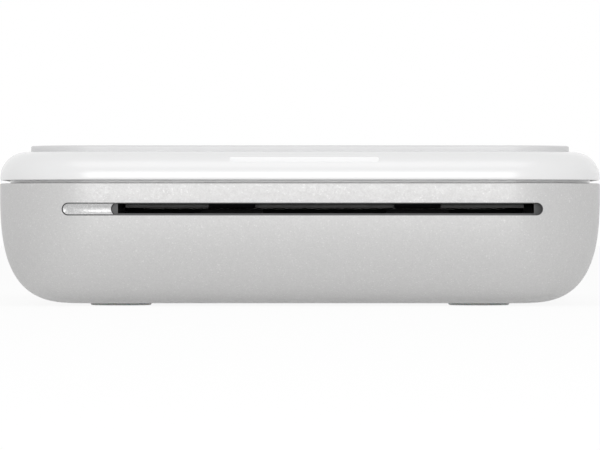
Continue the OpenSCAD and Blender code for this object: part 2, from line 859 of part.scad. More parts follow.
module tray_windows() {
    for (s = [-1, 1])
        block([paper_x + s * tyre_x - tyre_w / 2 - 0.4, pick_c[0] - 3.5, floor_z - floor_t - 1],
              [paper_x + s * tyre_x + tyre_w / 2 + 0.4, pick_c[0] + 3.5, floor_z + 1]);
    block([flag_x - 1.2, flag_c[0] - 5.4, floor_z - floor_t - 1], [flag_x + 1.2, flag_c[0] - 0.6, floor_z + 1]);
    // room for the motor below the tray's left wall
    bar(motor_c, motor_r + 0.25, tray_l - tray_wall - 1, tray_l - tray_wall + motor_l + 1);
}

module flag_ears() {
    for (s = [-1, 1]) {
        x = flag_x + s * 1.6;
        block([x - 0.5, flag_c[0] - 1.1, flag_c[1]], [x + 0.5, flag_c[0] + 1.1, floor_z - floor_t + eps]);
        bar(flag_c, 1.1, x - 0.5, x + 0.5);
    }
}

module hinge_post(x) {
    block([x - post_w / 2, hinge_y - post_r, base_top - eps], [x + post_w / 2, hinge_y + post_r, hinge_z]);
    bar([hinge_y, hinge_z], post_r, x - post_w / 2, x + post_w / 2);
}

// Steel side wall of the feed unit: bores is a list of [centre, radius], and the top edge
// dips between the bridge and the head's pivot to let the flat cable out
module side_plate(x, bores, dip) {
    rear = motor_c[0] + 6;
    low = floor_in + 1.7;
    translate([x, 0, 0]) rotate([90, 0, 90]) linear_extrude(plate_t) difference() {
        polygon([[plate_front, low + 4.4], [plate_front + 3, low], [rear, low], [rear, deck_z],
                 [bridge_back, deck_z], [bridge_back, bridge_z], [bridge_front, bridge_z],
                 [bridge_front, deck_z], [plate_front, deck_z]]);
        for (hole = bores) translate(hole[0]) circle(hole[1]);
        translate([flex_front - 0.2, deck_z - dip]) square([flex_back - flex_front + 0.4, dip + 1]);
    }
}

shaft_bores = [
    [platen_c, bush_r + fit],
    [exit_c, exit_shaft_r + run_gap],
    [pinch_c, pinch_shaft_r + run_gap],
    [pick_c, shaft_r + run_gap],
    [head_pivot, head_pin_r + run_gap]
];
axle_bores = [for (c = [idler_c, gear_b_c, gear_a_c, exit_idler_c]) [c, axle_r + fit]];
motor_bores = [
    [motor_c, 1.6],
    for (s = [-1, 1]) [motor_c + [0, s * motor_screw_z], screw_r + run_gap]
];

module left_side_plate() {
    color(steel) side_plate(plate_l, concat(shaft_bores, axle_bores, motor_bores), 0);
}

module right_side_plate() {
    color(steel) side_plate(plate_r, shaft_bores, 0.4);
}

module head_bridge() {
    color(steel) {
        x0 = plate_l - bridge_t;
        x1 = plate_r + plate_t + bridge_t;
        block([x0, bridge_front, bridge_z], [x1, bridge_back, bridge_z + bridge_t]);
        block([x0, bridge_front, deck_z - 0.4], [plate_l, bridge_back, bridge_z]);
        block([plate_r + plate_t, bridge_front, deck_z - 0.4], [x1, bridge_back, bridge_z]);
    }
}

module print_head() {
    color([0.92, 0.90, 0.84])
        block([paper_x - head_half, head_front, head_z], [paper_x + head_half, head_pivot[0], sink_z]);
}

module heat_sink() {
    color([0.75, 0.76, 0.78]) {
        block([paper_x - head_half, head_front, sink_z], [paper_x + head_half, head_pivot[0], sink_top]);
        bar(head_pivot, sink_t / 2, paper_x - head_half, paper_x + head_half);
        bar(head_pivot, head_pin_r, plate_l - 0.2, plate_r + plate_t + 0.2);
        for (s = [-1, 1]) post(paper_x + s * head_spring_x, head_spring_y, 0.6, sink_top - eps, sink_top + 0.5);
    }
}

module head_springs() {
    color(steel) for (s = [-1, 1])
        translate([paper_x + s * head_spring_x, head_spring_y, sink_top])
            coil(1.1, 0.15, bridge_z - sink_top, 4);
}

// Flat cable from the print head along the right side to the main board
module head_flex() {
    z0 = sink_top + fit;
    color([0.72, 0.45, 0.16]) {
        block([paper_x + 18, flex_front, z0], [flex_x + flex_t, flex_back, z0 + flex_t]);
        block([flex_x, flex_front, flex_low], [flex_x + flex_t, flex_back, z0 + flex_t]);
        block([flex_x, flex_back - 1, flex_low], [flex_x + flex_t, flex_end_y, flex_high]);
        block([board_x - flex_plug_w + 0.6, flex_end_y - flex_t, board_top + flex_plug_h],
              [flex_x + flex_t, flex_end_y, flex_high]);
    }
}

// ---------- rollers ----------

module platen_bushes() {
    color(gear_white) {
        ring(platen_c, bush_r, shaft_r + run_gap, plate_l, plate_l + plate_t + 0.3);
        ring(platen_c, bush_r, shaft_r + run_gap, plate_r - 0.3, plate_r + plate_t);
    }
}

module platen_shaft() {
    color(steel) bar(platen_c, shaft_r, shaft_left, shaft_right);
}

module platen_roller() {
    color(black) ring(platen_c, platen_r, shaft_r + fit, paper_x - tray_half + 0.4, paper_x + tray_half - 0.4);
}

module platen_gear() {
    color(gear_white) gear(platen_c, feed_m, feed_n, layer_1, 0, shaft_r + fit);
}

module exit_shaft() {
    color(steel) bar(exit_c, exit_shaft_r, shaft_left, shaft_right);
}

module exit_tyres() {
    color(black) for (s = [-1, 1])
        ring(exit_c, exit_r, exit_shaft_r + fit, paper_x + s * exit_in, paper_x + s * (exit_in + exit_tyre_w));
}

module exit_gear() {
    color(gear_white) gear(exit_c, feed_m, exit_n, layer_1, exit_turn, exit_shaft_r + fit);
}

module exit_idler() {
    color(gear_white) gear(exit_idler_c, feed_m, exit_idler_n, layer_1, exit_idler_turn, axle_r + run_gap);
}

module pinch_shaft() {
    color(steel) bar(pinch_c, pinch_shaft_r, plate_l - 0.1, plate_r + plate_t + 0.1);
}

module pinch_wheels() {
    color(dark) for (s = [-1, 1])
        ring(pinch_c, pinch_r, pinch_shaft_r + fit, paper_x + s * pinch_in, paper_x + s * (pinch_in + tyre_w));
}

module pick_shaft() {
    color(steel) bar(pick_c, shaft_r, shaft_left, shaft_right);
}

module pick_tyres() {
    color(black) for (s = [-1, 1])
        ring(pick_c, pick_r, shaft_r + fit,
             paper_x + s * tyre_x - tyre_w / 2, paper_x + s * tyre_x + tyre_w / 2);
}

module pick_gear() {
    color(gear_white) gear(pick_c, feed_m, feed_n, layer_1, pick_turn, shaft_r + fit);
}

module pick_idler() {
    color(gear_white) gear(idler_c, feed_m, feed_n, layer_1, idler_turn, axle_r + run_gap);
}

// ---------- reduction gears and motor ----------

module reduction_gear_b() {
    color(gear_white) {
        gear(gear_b_c, feed_m, pinion_n, layer_1, gear_b_turn, axle_r + run_gap);
        ring(gear_b_c, 2, axle_r + run_gap, layer_1[0] - layer_1[1], layer_2[0]);
        gear(gear_b_c, mid_m, wheel_b_n, layer_2, 0, axle_r + run_gap);
    }
}

module reduction_gear_a() {
    color(gear_white) {
        gear(gear_a_c, mid_m, pinion_n, layer_2, gear_a_turn, axle_r + run_gap);
        ring(gear_a_c, 1.5, axle_r + run_gap, layer_2[0] - layer_2[1], layer_3[0]);
        gear(gear_a_c, motor_m, wheel_a_n, layer_3, 0, axle_r + run_gap);
    }
}

// Stub axle riveted into the left plate, with a head that keeps its gear on
module stub_axle(c, last, spacer) {
    end = last[0] - last[1] - 0.1;
    bar(c, axle_r, end - 0.3, plate_l + plate_t);
    bar(c, axle_r + 0.45, end - 0.3, end);
    if (spacer > 0) bar(c, axle_r + 0.45, plate_l - spacer, plate_l);
}

module gear_axles() {
    inner = 0.4;
    color(steel) {
        stub_axle(idler_c, layer_1, inner);
        stub_axle(exit_idler_c, layer_1, inner);
        stub_axle(gear_b_c, layer_2, inner);
        stub_axle(gear_a_c, layer_3, plate_l - layer_2[0] - 0.1);
    }
}

module motor_pinion() {
    color(steel) bar(motor_c, motor_shaft_r, layer_3[0] - layer_3[1] - 0.2, plate_l + plate_t + 0.3);
    color([0.80, 0.66, 0.34]) gear(motor_c, motor_m, motor_n, layer_3, motor_turn, motor_shaft_r - eps);
}

module feed_motor() {
    x0 = plate_l + plate_t;
    color([0.72, 0.72, 0.73]) difference() {
        union() {
            bar(motor_c, motor_r, x0, x0 + motor_l);
            bar(motor_c, 1.5, x0 - plate_t, x0);
            bar(motor_c, 1.5, x0 + motor_l, x0 + motor_l + 0.8);
        }
        bar(motor_c, motor_shaft_r + run_gap, x0 - 2, x0 + 0.6);
        for (s = [-1, 1]) bar(motor_c + [0, s * motor_screw_z], screw_r + fit, x0 - 1, x0 + 1.6);
    }
}

module motor_lead() {
    x = plate_l + plate_t + motor_l + 0.8;
    y = motor_c[0];
    top = motor_c[1] + 1.5;
    low = floor_in + 1.1;
    up = board_top + lead_h;
    color([0.75, 0.16, 0.14]) lead([
        [x, y, top], [x + 1.2, y, top], [x + 1.8, y + 1.5, top - 1.3], [x + 1, y + 4, low + 0.6],
        [x - 2, y + 6.4, low], [x - 8, y + 7, low], [lead_x + 0.4, y + 9, low], [lead_x, y + 13, low],
        [lead_x, battery_y + 4, low], [lead_x, board_front - 4, low + 0.2],
        [lead_x + 0.6, board_front - 1.6, low + 2], [lead_x + 1.2, board_front - 1.2, up - 0.9],
        [motor_lead_x, board_front + 0.2, up], [motor_lead_x, board_front + connector_in, up]], motor_lead_r);
}

// ---------- paper flag ----------

module paper_flag() {
    wide = 0.45;
    color(black) {
        bar(flag_c, flag_pin_r, flag_x - 2.1, flag_x + 2.1);
        translate([flag_x - flag_w / 2, flag_c[0], flag_c[1]]) rotate([90, 0, 90]) linear_extrude(flag_w) {
            circle(1.1);
            for (tip = [flag_tip, flag_tail]) {
                side = wide * [-tip[1], tip[0]] / norm(tip);
                polygon([side * 1.8, -side * 1.8, tip - side, tip + side]);
                translate(tip) circle(wide);
            }
        }
    }
}

module paper_sensor() {
    color(black) difference() {
        block([flag_x - 2.4, sensor_y, sensor_z], [flag_x + 2.4, sensor_y + 3.4, sensor_z + 2.9]);
        block([flag_x - 1.1, sensor_y - 1, sensor_z + 0.7], [flag_x + 1.1, sensor_y + 5, sensor_z + 4]);
    }
}

// ---------- battery and boards ----------

module battery() {
    fold = 1.2;
    tab = 2;
    x0 = battery_x - battery_w / 2;
    x1 = battery_x + battery_w / 2;
    y0 = battery_y - battery_l / 2;
    color([0.58, 0.60, 0.63]) {
        block([x0, y0 + fold, battery_z], [x1, battery_back - tab, battery_z + battery_t]);
        block([x0 + fold, y0, battery_z], [x1 - fold, y0 + fold, battery_z + battery_t]);
    }
    color([0.85, 0.72, 0.30])
        block([x0 + 1, battery_back - tab, battery_z + 0.6], [x1 - 1, battery_back, battery_z + battery_t - 1.2]);
}

module battery_pad() {
    w = battery_w / 2 - pad_in;
    l = battery_l / 2 - pad_in;
    color(dark) block([battery_x - w, battery_y - l, floor_in], [battery_x + w, battery_y + l, battery_z]);
}

module battery_lead() {
    x = battery_lead_x;
    low = battery_z + battery_t - 2.3;
    up = board_top + lead_h;
    color([0.12, 0.12, 0.12]) lead([
        [x, battery_back, low], [x, battery_back + 1, low], [x, battery_back + 2.4, low + 0.6],
        [x, battery_back + 3.4, up - 0.5], [x, battery_back + 4.6, up], [x, board_front + 0.6, up],
        [x, board_front + connector_in, up]], battery_lead_r);
}

module main_board() {
    color(board_green) difference() {
        block([-board_x, board_front, board_z], [board_x, board_back, board_top]);
        for (x = [-1, 1], y = board_hole_y)
            post(x * board_hole_x, y, screw_r + run_gap, board_z - 1, board_top + 1);
    }
}

module board_chips() {
    color(black) for (c = chips)
        block([c[0], board_mid + c[1], board_top], [c[0] + c[2], board_mid + c[1] + c[3], board_top + c[4]]);
    color([0.75, 0.76, 0.78])
        block([shield[0], board_front + shield[1], board_top],
              [shield[0] + shield[2], board_front + shield[1] + shield[3], board_top + shield[4]]);
}

module board_connectors() {
    y = board_front + connector_in;
    color(gear_white) {
        for (x = [motor_lead_x, battery_lead_x])
            block([x - connector_w / 2, y, board_top],
                  [x + connector_w / 2, y + connector_d, board_top + connector_h]);
        block([board_x - flex_plug_w, flex_end_y - flex_plug_d / 2, board_top],
              [board_x, flex_end_y + flex_plug_d / 2, board_top + flex_plug_h]);
    }
}

module usb_port() {
    y1 = back_y - 0.7;
    z = board_top + usb_h / 2;
    color(steel) difference() {
        stadium(usb_x - usb_w / 2, usb_x + usb_w / 2, z, usb_h, y1 - usb_l, y1);
        stadium(usb_x - usb_w / 2 + 0.3, usb_x + usb_w / 2 - 0.3, z, usb_h - 0.6, y1 - usb_l + 0.5, y1 + 1);
    }
    color(black) block([usb_x - 2.2, y1 - usb_l + 0.4, z - 0.3], [usb_x + 2.2, y1 - 0.6, z + 0.3]);
}

module power_button() {
    color(silver) {
        y_bar(power_x, control_z, button_r, flange_y - eps, back_y - button_in);
        y_bar(power_x, control_z, button_r + button_flange, flange_y - button_flange_t, flange_y);
        y_bar(power_x, control_z, 0.7,
              flange_y - button_flange_t - button_stem, flange_y - button_flange_t + eps);
    }
}

module power_switch() {
    y1 = flange_y - button_flange_t - button_stem - button_travel - 0.1;
    color(dark) block([power_x - 1.9, y1 - 2, board_top], [power_x + 1.9, y1, board_top + 3]);
}

module reset_plunger() {
    color("white") y_bar(reset_x, control_z, 0.6, inner_back - 3.4 + reset_travel, inner_back - 2);
}

module reset_switch() {
    color(dark) difference() {
        block([reset_x - 1.7, inner_back - 4.8, board_top], [reset_x + 1.7, inner_back - 2.7, board_top + 2.9]);
        y_bar(reset_x, control_z, 0.6 + run_gap, inner_back - 3.5, inner_back - 2);
    }
}

module charge_light() {
    color([0.9, 0.95, 0.95]) {
        y_bar(light_x, control_z, 0.75, board_back - 1.5, back_y - 0.1);
        block([light_x - 0.9, board_back - 3, board_top], [light_x + 0.9, board_back - 1.5, control_z + 0.75]);
    }
}

// ---------- fasteners ----------

module screw(x, y, z_head, length) {
    post(x, y, screw_head_r, z_head - screw_head_t, z_head);
    post(x, y, screw_r - fit, z_head - screw_head_t - length, z_head - screw_head_t + eps);
}

module frame_screws() {
    color(steel) for (x = [-1, 1], y = boss_y) screw(x * boss_x, y, base_top, 4.5);
}

module board_screws() {
    color(steel) for (x = [-1, 1], y = board_hole_y) screw(x * board_hole_x, y, board_top + screw_head_t, 3.5);
}

module motor_screws() {
    color(steel) for (s = [-1, 1]) {
        c = motor_c + [0, s * motor_screw_z];
        bar(c, 0.9, plate_l - 0.4, plate_l);
        bar(c, screw_r - fit, plate_l - eps, plate_l + plate_t + 1.4);
    }
}

module cap_screws() {
    color(steel) for (x = [-1, 1]) {
        post(x * cap_screw_x, cap_screw_y, screw_head_r, deck_z - screw_head_t, deck_z);
        post(x * cap_screw_x, cap_screw_y, screw_r - fit, deck_z - eps, base_top + 1.8);
    }
}

base_housing();
rubber_feet();
status_lens();
status_board();
exit_guide();
rear_cap();
top_cover();
cover_panel();
hinge_pins();
cover_magnets();
magnet_keepers();
presser_rails();
presser_plate();
presser_springs();
mid_frame();
left_side_plate();
right_side_plate();
head_bridge();
print_head();
heat_sink();
head_springs();
head_flex();
platen_bushes();
platen_shaft();
platen_roller();
platen_gear();
exit_shaft();
exit_tyres();
exit_gear();
exit_idler();
pinch_shaft();
pinch_wheels();
pick_shaft();
pick_tyres();
pick_gear();
pick_idler();
reduction_gear_b();
reduction_gear_a();
gear_axles();
motor_pinion();
feed_motor();
motor_lead();
paper_flag();
paper_sensor();
battery();
battery_pad();
battery_lead();
main_board();
board_chips();
board_connectors();
usb_port();
power_button();
power_switch();
reset_plunger();
reset_switch();
charge_light();
frame_screws();
board_screws();
motor_screws();
cap_screws();
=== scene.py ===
import json
import math

import bmesh
import bpy
from mathutils import Matrix, Vector

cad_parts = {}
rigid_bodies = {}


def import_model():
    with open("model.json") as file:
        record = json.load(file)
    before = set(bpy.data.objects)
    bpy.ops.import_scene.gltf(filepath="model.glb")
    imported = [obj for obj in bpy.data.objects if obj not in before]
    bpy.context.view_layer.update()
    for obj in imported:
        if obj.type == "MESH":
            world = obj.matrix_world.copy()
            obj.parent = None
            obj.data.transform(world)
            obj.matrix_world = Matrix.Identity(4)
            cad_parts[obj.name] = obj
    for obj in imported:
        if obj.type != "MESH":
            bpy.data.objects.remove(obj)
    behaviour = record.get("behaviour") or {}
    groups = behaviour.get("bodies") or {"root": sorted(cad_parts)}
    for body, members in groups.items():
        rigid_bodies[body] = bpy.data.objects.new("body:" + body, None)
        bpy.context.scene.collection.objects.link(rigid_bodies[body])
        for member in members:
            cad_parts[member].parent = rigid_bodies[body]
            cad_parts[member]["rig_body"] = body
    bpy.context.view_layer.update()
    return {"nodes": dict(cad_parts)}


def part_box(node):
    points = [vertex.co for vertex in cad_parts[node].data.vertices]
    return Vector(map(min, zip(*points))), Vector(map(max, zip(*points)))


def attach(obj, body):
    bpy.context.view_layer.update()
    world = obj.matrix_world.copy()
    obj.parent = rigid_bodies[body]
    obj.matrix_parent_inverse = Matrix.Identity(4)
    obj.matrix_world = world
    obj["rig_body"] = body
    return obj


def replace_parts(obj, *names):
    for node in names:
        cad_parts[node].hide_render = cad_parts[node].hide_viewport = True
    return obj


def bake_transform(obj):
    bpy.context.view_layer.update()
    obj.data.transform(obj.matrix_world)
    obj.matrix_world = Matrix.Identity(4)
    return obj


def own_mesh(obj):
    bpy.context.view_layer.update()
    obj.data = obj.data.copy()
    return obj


# ---------- camera ----------
# The front face is seen square on from far away, so the lens is very long.
# The eye is a little above half the height of the body, and looks level along +Y.
MM = 0.001
EYE = Vector((0, -760 * MM, 10.49 * MM))
LENS_MM = 327.7

bpy.ops.object.camera_add(location=EYE, rotation=(math.pi / 2, 0, 0))
camera = bpy.context.object
camera.data.lens = LENS_MM
camera.data.sensor_width = 36
camera.data.clip_start = 0.01
bpy.context.scene.camera = camera
bpy.context.scene.view_settings.view_transform = "Standard"

# ---------- frame ----------
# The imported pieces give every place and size. The widest outline, the top of the base and
# the hinge are read from them, and the rest of the body is worked out from these.
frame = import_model()
base_low, base_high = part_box("base_housing")
panel_low, panel_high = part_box("cover_panel")
pin_low, pin_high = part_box("hinge_pins")
body_w = base_high.x - base_low.x
body_d = base_high.y - base_low.y
front_y = base_low.y
back_y = base_high.y
base_z = base_low.z
base_top = base_high.z
hinge_y = (pin_low.y + pin_high.y) / 2
hinge_z = (pin_low.z + pin_high.z) / 2

# ---------- floor and light ----------
# A plain white floor that keeps a faint shadow, and a white studio round it. A soft panel stands
# behind the camera, so front faces are a little brighter than sides. A small one hangs in front
# of the printer and lights the table, whose white shines up at the belly.
STUDIO = 0.66
FLOOR_WHITE = 0.96
FLOOR_SEEN = 0.9


class Socket:
    """A value in a node tree. Sums and products of values add their own Math nodes."""

    def __init__(self, finish, socket):
        self.finish = finish
        self.socket = socket

    def math(self, operation, *values):
        return self.finish.node("ShaderNodeMath", {"operation": operation}, dict(enumerate(values)))

    def __add__(self, other):
        return self.math("ADD", self, other)

    def __radd__(self, other):
        return self.math("ADD", other, self)

    def __sub__(self, other):
        return self.math("SUBTRACT", self, other)

    def __rsub__(self, other):
        return self.math("SUBTRACT", other, self)

    def __mul__(self, other):
        return self.math("MULTIPLY", self, other)

    def __rmul__(self, other):
        return self.math("MULTIPLY", other, self)

    def __truediv__(self, other):
        return self.math("DIVIDE", self, other)

    def __pow__(self, other):
        return self.math("POWER", self, other)

    def above(self, edge):
        return self.math("GREATER_THAN", self, edge)

    def larger(self, other):
        return self.math("MAXIMUM", self, other)

    def wave(self):
        return self.math("SINE", self)

    def size(self):
        return self.math("ABSOLUTE", self)


class Finish:
    """The node tree of one finish, or of the studio's world."""

    def __init__(self, owner):
        owner.use_nodes = True
        self.owner = owner
        self.tree = owner.node_tree
        self.tree.nodes.clear()

    def node(self, kind, settings=None, inputs=None, out=0):
        made = self.tree.nodes.new(kind)
        for name, value in (settings or {}).items():
            if name == "stops":
                ramp = made.color_ramp
                while len(ramp.elements) < len(value):
                    ramp.elements.new(0.5)
                for element, (place, colour) in zip(ramp.elements, value):
                    element.position = place
                    element.color = (*colour, 1) if hasattr(colour, "__len__") else (colour,) * 3 + (1,)
            else:
                setattr(made, name, value)
        for name, value in (inputs or {}).items():
            self.feed(made.inputs[name], value)
        return Socket(self, made.outputs[out]) if made.outputs else None

    def feed(self, socket, value):
        if isinstance(value, Socket):
            self.tree.links.new(value.socket, socket)
        elif hasattr(value, "__len__") and socket.type == "RGBA" and len(value) == 3:
            socket.default_value = (*value, 1)
        else:
            socket.default_value = value

    def vary(self, socket, value):
        """Feeds a socket of the shader with what changes over the surface."""
        self.feed(self.shader[socket], value)


def seen_white(tree, camera_share):
    """How far the camera, a gloss and glass see plain white in place of the light."""
    rays = "ShaderNodeLightPath"
    seen = tree.node(rays, out="Is Camera Ray") * camera_share
    seen = seen.larger(tree.node(rays, out="Is Glossy Ray"))
    return seen.larger(tree.node(rays, out="Is Transmission Ray"))


def studio_world():
    world = bpy.data.worlds.new("studio")
    bpy.context.scene.world = world
    sky = Finish(world)
    light = sky.node("ShaderNodeBackground", inputs={"Color": (1, 1, 1), "Strength": STUDIO})
    white = sky.node("ShaderNodeBackground", inputs={"Color": (1, 1, 1), "Strength": 1.0})
    both = sky.node("ShaderNodeMixShader", inputs={0: seen_white(sky, 1.0), 1: light, 2: white})
    sky.node("ShaderNodeOutputWorld", inputs={"Surface": both})


def white_floor():
    bpy.ops.mesh.primitive_plane_add(size=4, location=(0, 0, 0))
    floor = bpy.context.object
    floor.name = "floor"
    paint = bpy.data.materials.new("floor_white")
    coat = Finish(paint)
    matt = coat.node("ShaderNodeBsdfDiffuse", inputs={"Color": (FLOOR_WHITE,) * 3})
    white = coat.node("ShaderNodeEmission", inputs={"Color": (1, 1, 1), "Strength": 1.0})
    both = coat.node("ShaderNodeMixShader", inputs={0: seen_white(coat, FLOOR_SEEN), 1: matt, 2: white})
    coat.node("ShaderNodeOutputMaterial", inputs={"Surface": both})
    floor.data.materials.append(paint)


def soft_panel(name, place, aim, size, power):
    bpy.ops.object.light_add(type="AREA", location=place)
    lamp = bpy.context.object
    lamp.name = name
    lamp.rotation_euler = (Vector(aim) - Vector(place)).to_track_quat("-Z", "Y").to_euler()
    lamp.data.shape = "RECTANGLE"
    lamp.data.size, lamp.data.size_y = size
    lamp.data.energy = power


studio_world()
white_floor()
soft_panel("front_panel", (0, -0.9, 0.2), (0, 0, 0.1), (0.45, 0.39), 1.8)
soft_panel("table_panel", (0, -0.42, 0.6), (0, -0.42, 0), (0.6, 0.4), 0.8)

# ---------- base housing ----------
# A bowl moulded in ABS, 1.6 mm thick, whose sides run into the flat floor in one curve.
# It is sprayed with silver paint: fine flakes of aluminium, none larger than 0.15 mm.
CORNER_R = 12.5 * MM
WALL = 1.6 * MM
BELLY_IN = 10.7 * MM
BELLY_POWER = 3
RIM_ROUND = 0.2 * MM
CORNER_STEPS = 28
BELLY_STEPS = 26
lens_low, lens_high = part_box("status_lens")
path_z = (lens_low.z + lens_high.z) / 2
SLOT_H = lens_high.z - lens_low.z
SLIT_LOW = 0.56 * MM
SLIT_HIGH = 0.70 * MM
slot_l = -23.42 * MM
slot_r = 30.1 * MM
mouth_l = slot_l - SLOT_H / 2
mouth_r = slot_r + 1.1 * MM
MOUTH_DEEP = 1.15 * MM
# How far behind the front face the painted shade inside the opening reaches.
OPENING_SHADE_IN = 3 * MM
sign_low, sign_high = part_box("status_board")
eye_low, eye_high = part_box("paper_sensor")
cell_low, cell_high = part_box("battery")
feet_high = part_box("rubber_feet")[1]
FOOT_R = 4 * MM
foot_x = feet_high.x - FOOT_R
foot_y = feet_high.y - FOOT_R
DECK_Z = base_top - 1.2 * MM
PILOT_R = 0.5 * MM
BOSS_R = 1.55 * MM
CELL_RIB = 16 * MM
KEY_RIB = 2.8 * MM
cell_y = (cell_low.y + cell_high.y) / 2
BOSS_X = body_w / 2 - 3.55 * MM
BOSS_Y = (front_y + 15.15 * MM, -2 * MM, hinge_y - 5.5 * MM)
board_low, board_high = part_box("main_board")
board_hole_x = board_high.x - 2.5 * MM
board_hole_y = (board_low.y + 2.2 * MM, board_high.y - 2.6 * MM)
key_low, key_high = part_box("power_button")
light_low, light_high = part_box("charge_light")
reset_low, reset_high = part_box("reset_plunger")
usb_low, usb_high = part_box("usb_port")
key_x = (key_low.x + key_high.x) / 2
light_x = (light_low.x + light_high.x) / 2
reset_x = (reset_low.x + reset_high.x) / 2
usb_x = (usb_low.x + usb_high.x) / 2
usb_z = (usb_low.z + usb_high.z) / 2
control_z = (key_low.z + key_high.z) / 2
KEY_HOLE_R = 2.3 * MM
RESET_HOLE_R = 0.5 * MM
LIGHT_HOLE_R = 0.77 * MM


def alone(piece):
    """Only this piece is selected, and it is active."""
    bpy.ops.object.select_all(action="DESELECT")
    piece.select_set(True)
    bpy.context.view_layer.objects.active = piece


def edit(piece):
    alone(piece)
    bpy.ops.object.mode_set(mode="EDIT")
    bpy.ops.mesh.select_mode(type="FACE")
    bpy.ops.mesh.select_all(action="DESELECT")


def select_whole():
    bpy.ops.mesh.select_all(action="SELECT")


def leave(piece, name=None):
    bpy.ops.object.mode_set(mode="OBJECT")
    alone(piece)
    bpy.ops.object.transform_apply(location=True, rotation=True, scale=True)
    if name:
        piece.name = name
    return piece


def pick(piece, test):
    """Selects the faces that a test picks, in edit mode."""
    mesh = bmesh.from_edit_mesh(piece.data)
    for face in mesh.faces:
        face.select = test(face)
    mesh.select_flush_mode()
    bmesh.update_edit_mesh(piece.data)


def modify(piece, kind, **settings):
    """Adds a modifier and applies it."""
    alone(piece)
    made = piece.modifiers.new(kind.lower(), kind)
    for name, value in settings.items():
        setattr(made, name, value)
    bpy.ops.object.modifier_apply(modifier=made.name)


def carve(piece, tool, how="DIFFERENCE"):
    """Cuts a tool out of a piece, or adds or intersects it, and removes the tool."""
    modify(piece, "BOOLEAN", object=tool, operation=how, solver="EXACT")
    bpy.data.objects.remove(tool)


def shape_face(w, d, r, z, up, steps):
    """A flat rounded rectangle at height z, facing up or down."""
    bpy.ops.mesh.primitive_plane_add(size=1, location=(0, 0, z))
    face = bpy.context.object
    edit(face)
    select_whole()
    bpy.ops.transform.resize(value=(w, d, 1))
    bpy.ops.mesh.bevel(offset=r, segments=steps, affect="VERTICES", profile=0.5)
    if not up:
        select_whole()
        bpy.ops.mesh.flip_normals()
    return face


def contour(levels, z, inset):
    """Carries the selected face through levels of [height, inset], one inset for each."""
    for level_z, level_inset in levels:
        bpy.ops.mesh.inset(
            thickness=max(level_inset - inset, 0), depth=abs(level_z - z), use_even_offset=True)
        z, inset = level_z, level_inset


def rounded_solid(name, start_z, start_inset, above, below, w=None, d=None, r=CORNER_R, y=0,
                  steps=CORNER_STEPS):
    """A closed solid on a rounded rectangle, which draws in above and below its widest level."""
    w = (w or body_w) - 2 * start_inset
    d = (d or body_d) - 2 * start_inset
    halves = []
    for up, levels in ((True, above), (False, below)):
        half = shape_face(w, d, r - start_inset, start_z, up, steps)
        select_whole()
        contour(levels, start_z, start_inset)
        halves.append(leave(half))
    alone(halves[0])
    halves[1].select_set(True)
    bpy.ops.object.join()
    solid = bpy.context.object
    edit(solid)
    select_whole()
    bpy.ops.mesh.remove_doubles(threshold=0.5e-6)
    bpy.ops.transform.translate(value=(0, y, 0))
    return leave(solid, name)


def belly(low, high, extra):
    """Levels of the bowl's side, from just below the rim down to the flat floor."""
    levels = []
    for i in range(1, BELLY_STEPS + 1):
        a = math.pi / 2 * i / BELLY_STEPS
        z = high - (high - low) * math.sin(a) ** (2 / BELLY_POWER)
        out = max(math.cos(a), 0) ** (2 / BELLY_POWER)
        levels.append((z, extra + BELLY_IN * (1 - out)))
    return levels


def quarter(z, inset, r, steps):
    """Levels of a quarter round that starts upright and ends level, r higher."""
    turns = [math.pi / 2 * i / steps for i in range(1, steps + 1)]
    return [(z + r * math.sin(a), inset + r * (1 - math.cos(a))) for a in turns]


def bowl(name, inset, floor, top, rim):
    """The base's outline, drawn in by a wall's thickness or less."""
    above = quarter(top - rim, inset, rim, 4) if rim else [(top + 2 * MM, inset)]
    return rounded_solid(name, top - rim, inset, above, belly(floor, top - rim, inset))


def stadium(name, x0, x1, z, h, y0, y1, steps=14):
    """A bar along Y with round ends."""
    bpy.ops.mesh.primitive_plane_add(
        size=1, location=((x0 + x1) / 2, y0, z), rotation=(math.pi / 2, 0, 0))
    bar = bpy.context.object
    edit(bar)
    select_whole()
    bpy.ops.transform.resize(value=(x1 - x0, 1, h))
    bpy.ops.mesh.bevel(offset=h / 2, segments=steps, affect="VERTICES", profile=0.5)
    select_whole()
    bpy.ops.mesh.remove_doubles(threshold=1e-7)
    bpy.ops.mesh.extrude_region_move(TRANSFORM_OT_translate={"value": (0, y1 - y0, 0)})
    select_whole()
    bpy.ops.mesh.normals_make_consistent(inside=False)
    return leave(bar, name)


def brick(name, low, high):
    """A block between two corners."""
    low, high = Vector(low), Vector(high)
    bpy.ops.mesh.primitive_cube_add(size=1, location=(low + high) / 2)
    block = bpy.context.object
    block.scale = high - low
    bpy.ops.object.transform_apply(location=True, rotation=True, scale=True)
    block.name = name
    return block


def pillar(name, place, r, h, axis="Z", steps=48):
    """A round bar from a place, h long along an axis."""
    turn = {"Z": (0, 0, 0), "Y": (-math.pi / 2, 0, 0), "X": (0, math.pi / 2, 0)}[axis]
    along = {"Z": (0, 0, h / 2), "Y": (0, h / 2, 0), "X": (h / 2, 0, 0)}[axis]
    bpy.ops.mesh.primitive_cylinder_add(
        vertices=steps, radius=r, depth=h, location=Vector(place) + Vector(along), rotation=turn)
    bar = bpy.context.object
    bpy.ops.object.transform_apply(location=True, rotation=True, scale=True)
    bar.name = name
    return bar


def smooth(piece, degrees=32):
    alone(piece)
    bpy.ops.object.shade_smooth_by_angle(angle=math.radians(degrees))


def dress(piece, paint, body):
    """Gives a piece its finish and the body that it moves with."""
    piece.data.materials.clear()
    piece.data.materials.append(paint)
    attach(piece, body)


def stand_in(piece, node, paint):
    """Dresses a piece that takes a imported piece's place and moves as it does."""
    dress(piece, paint, frame["nodes"][node]["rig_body"])
    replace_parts(piece, node)


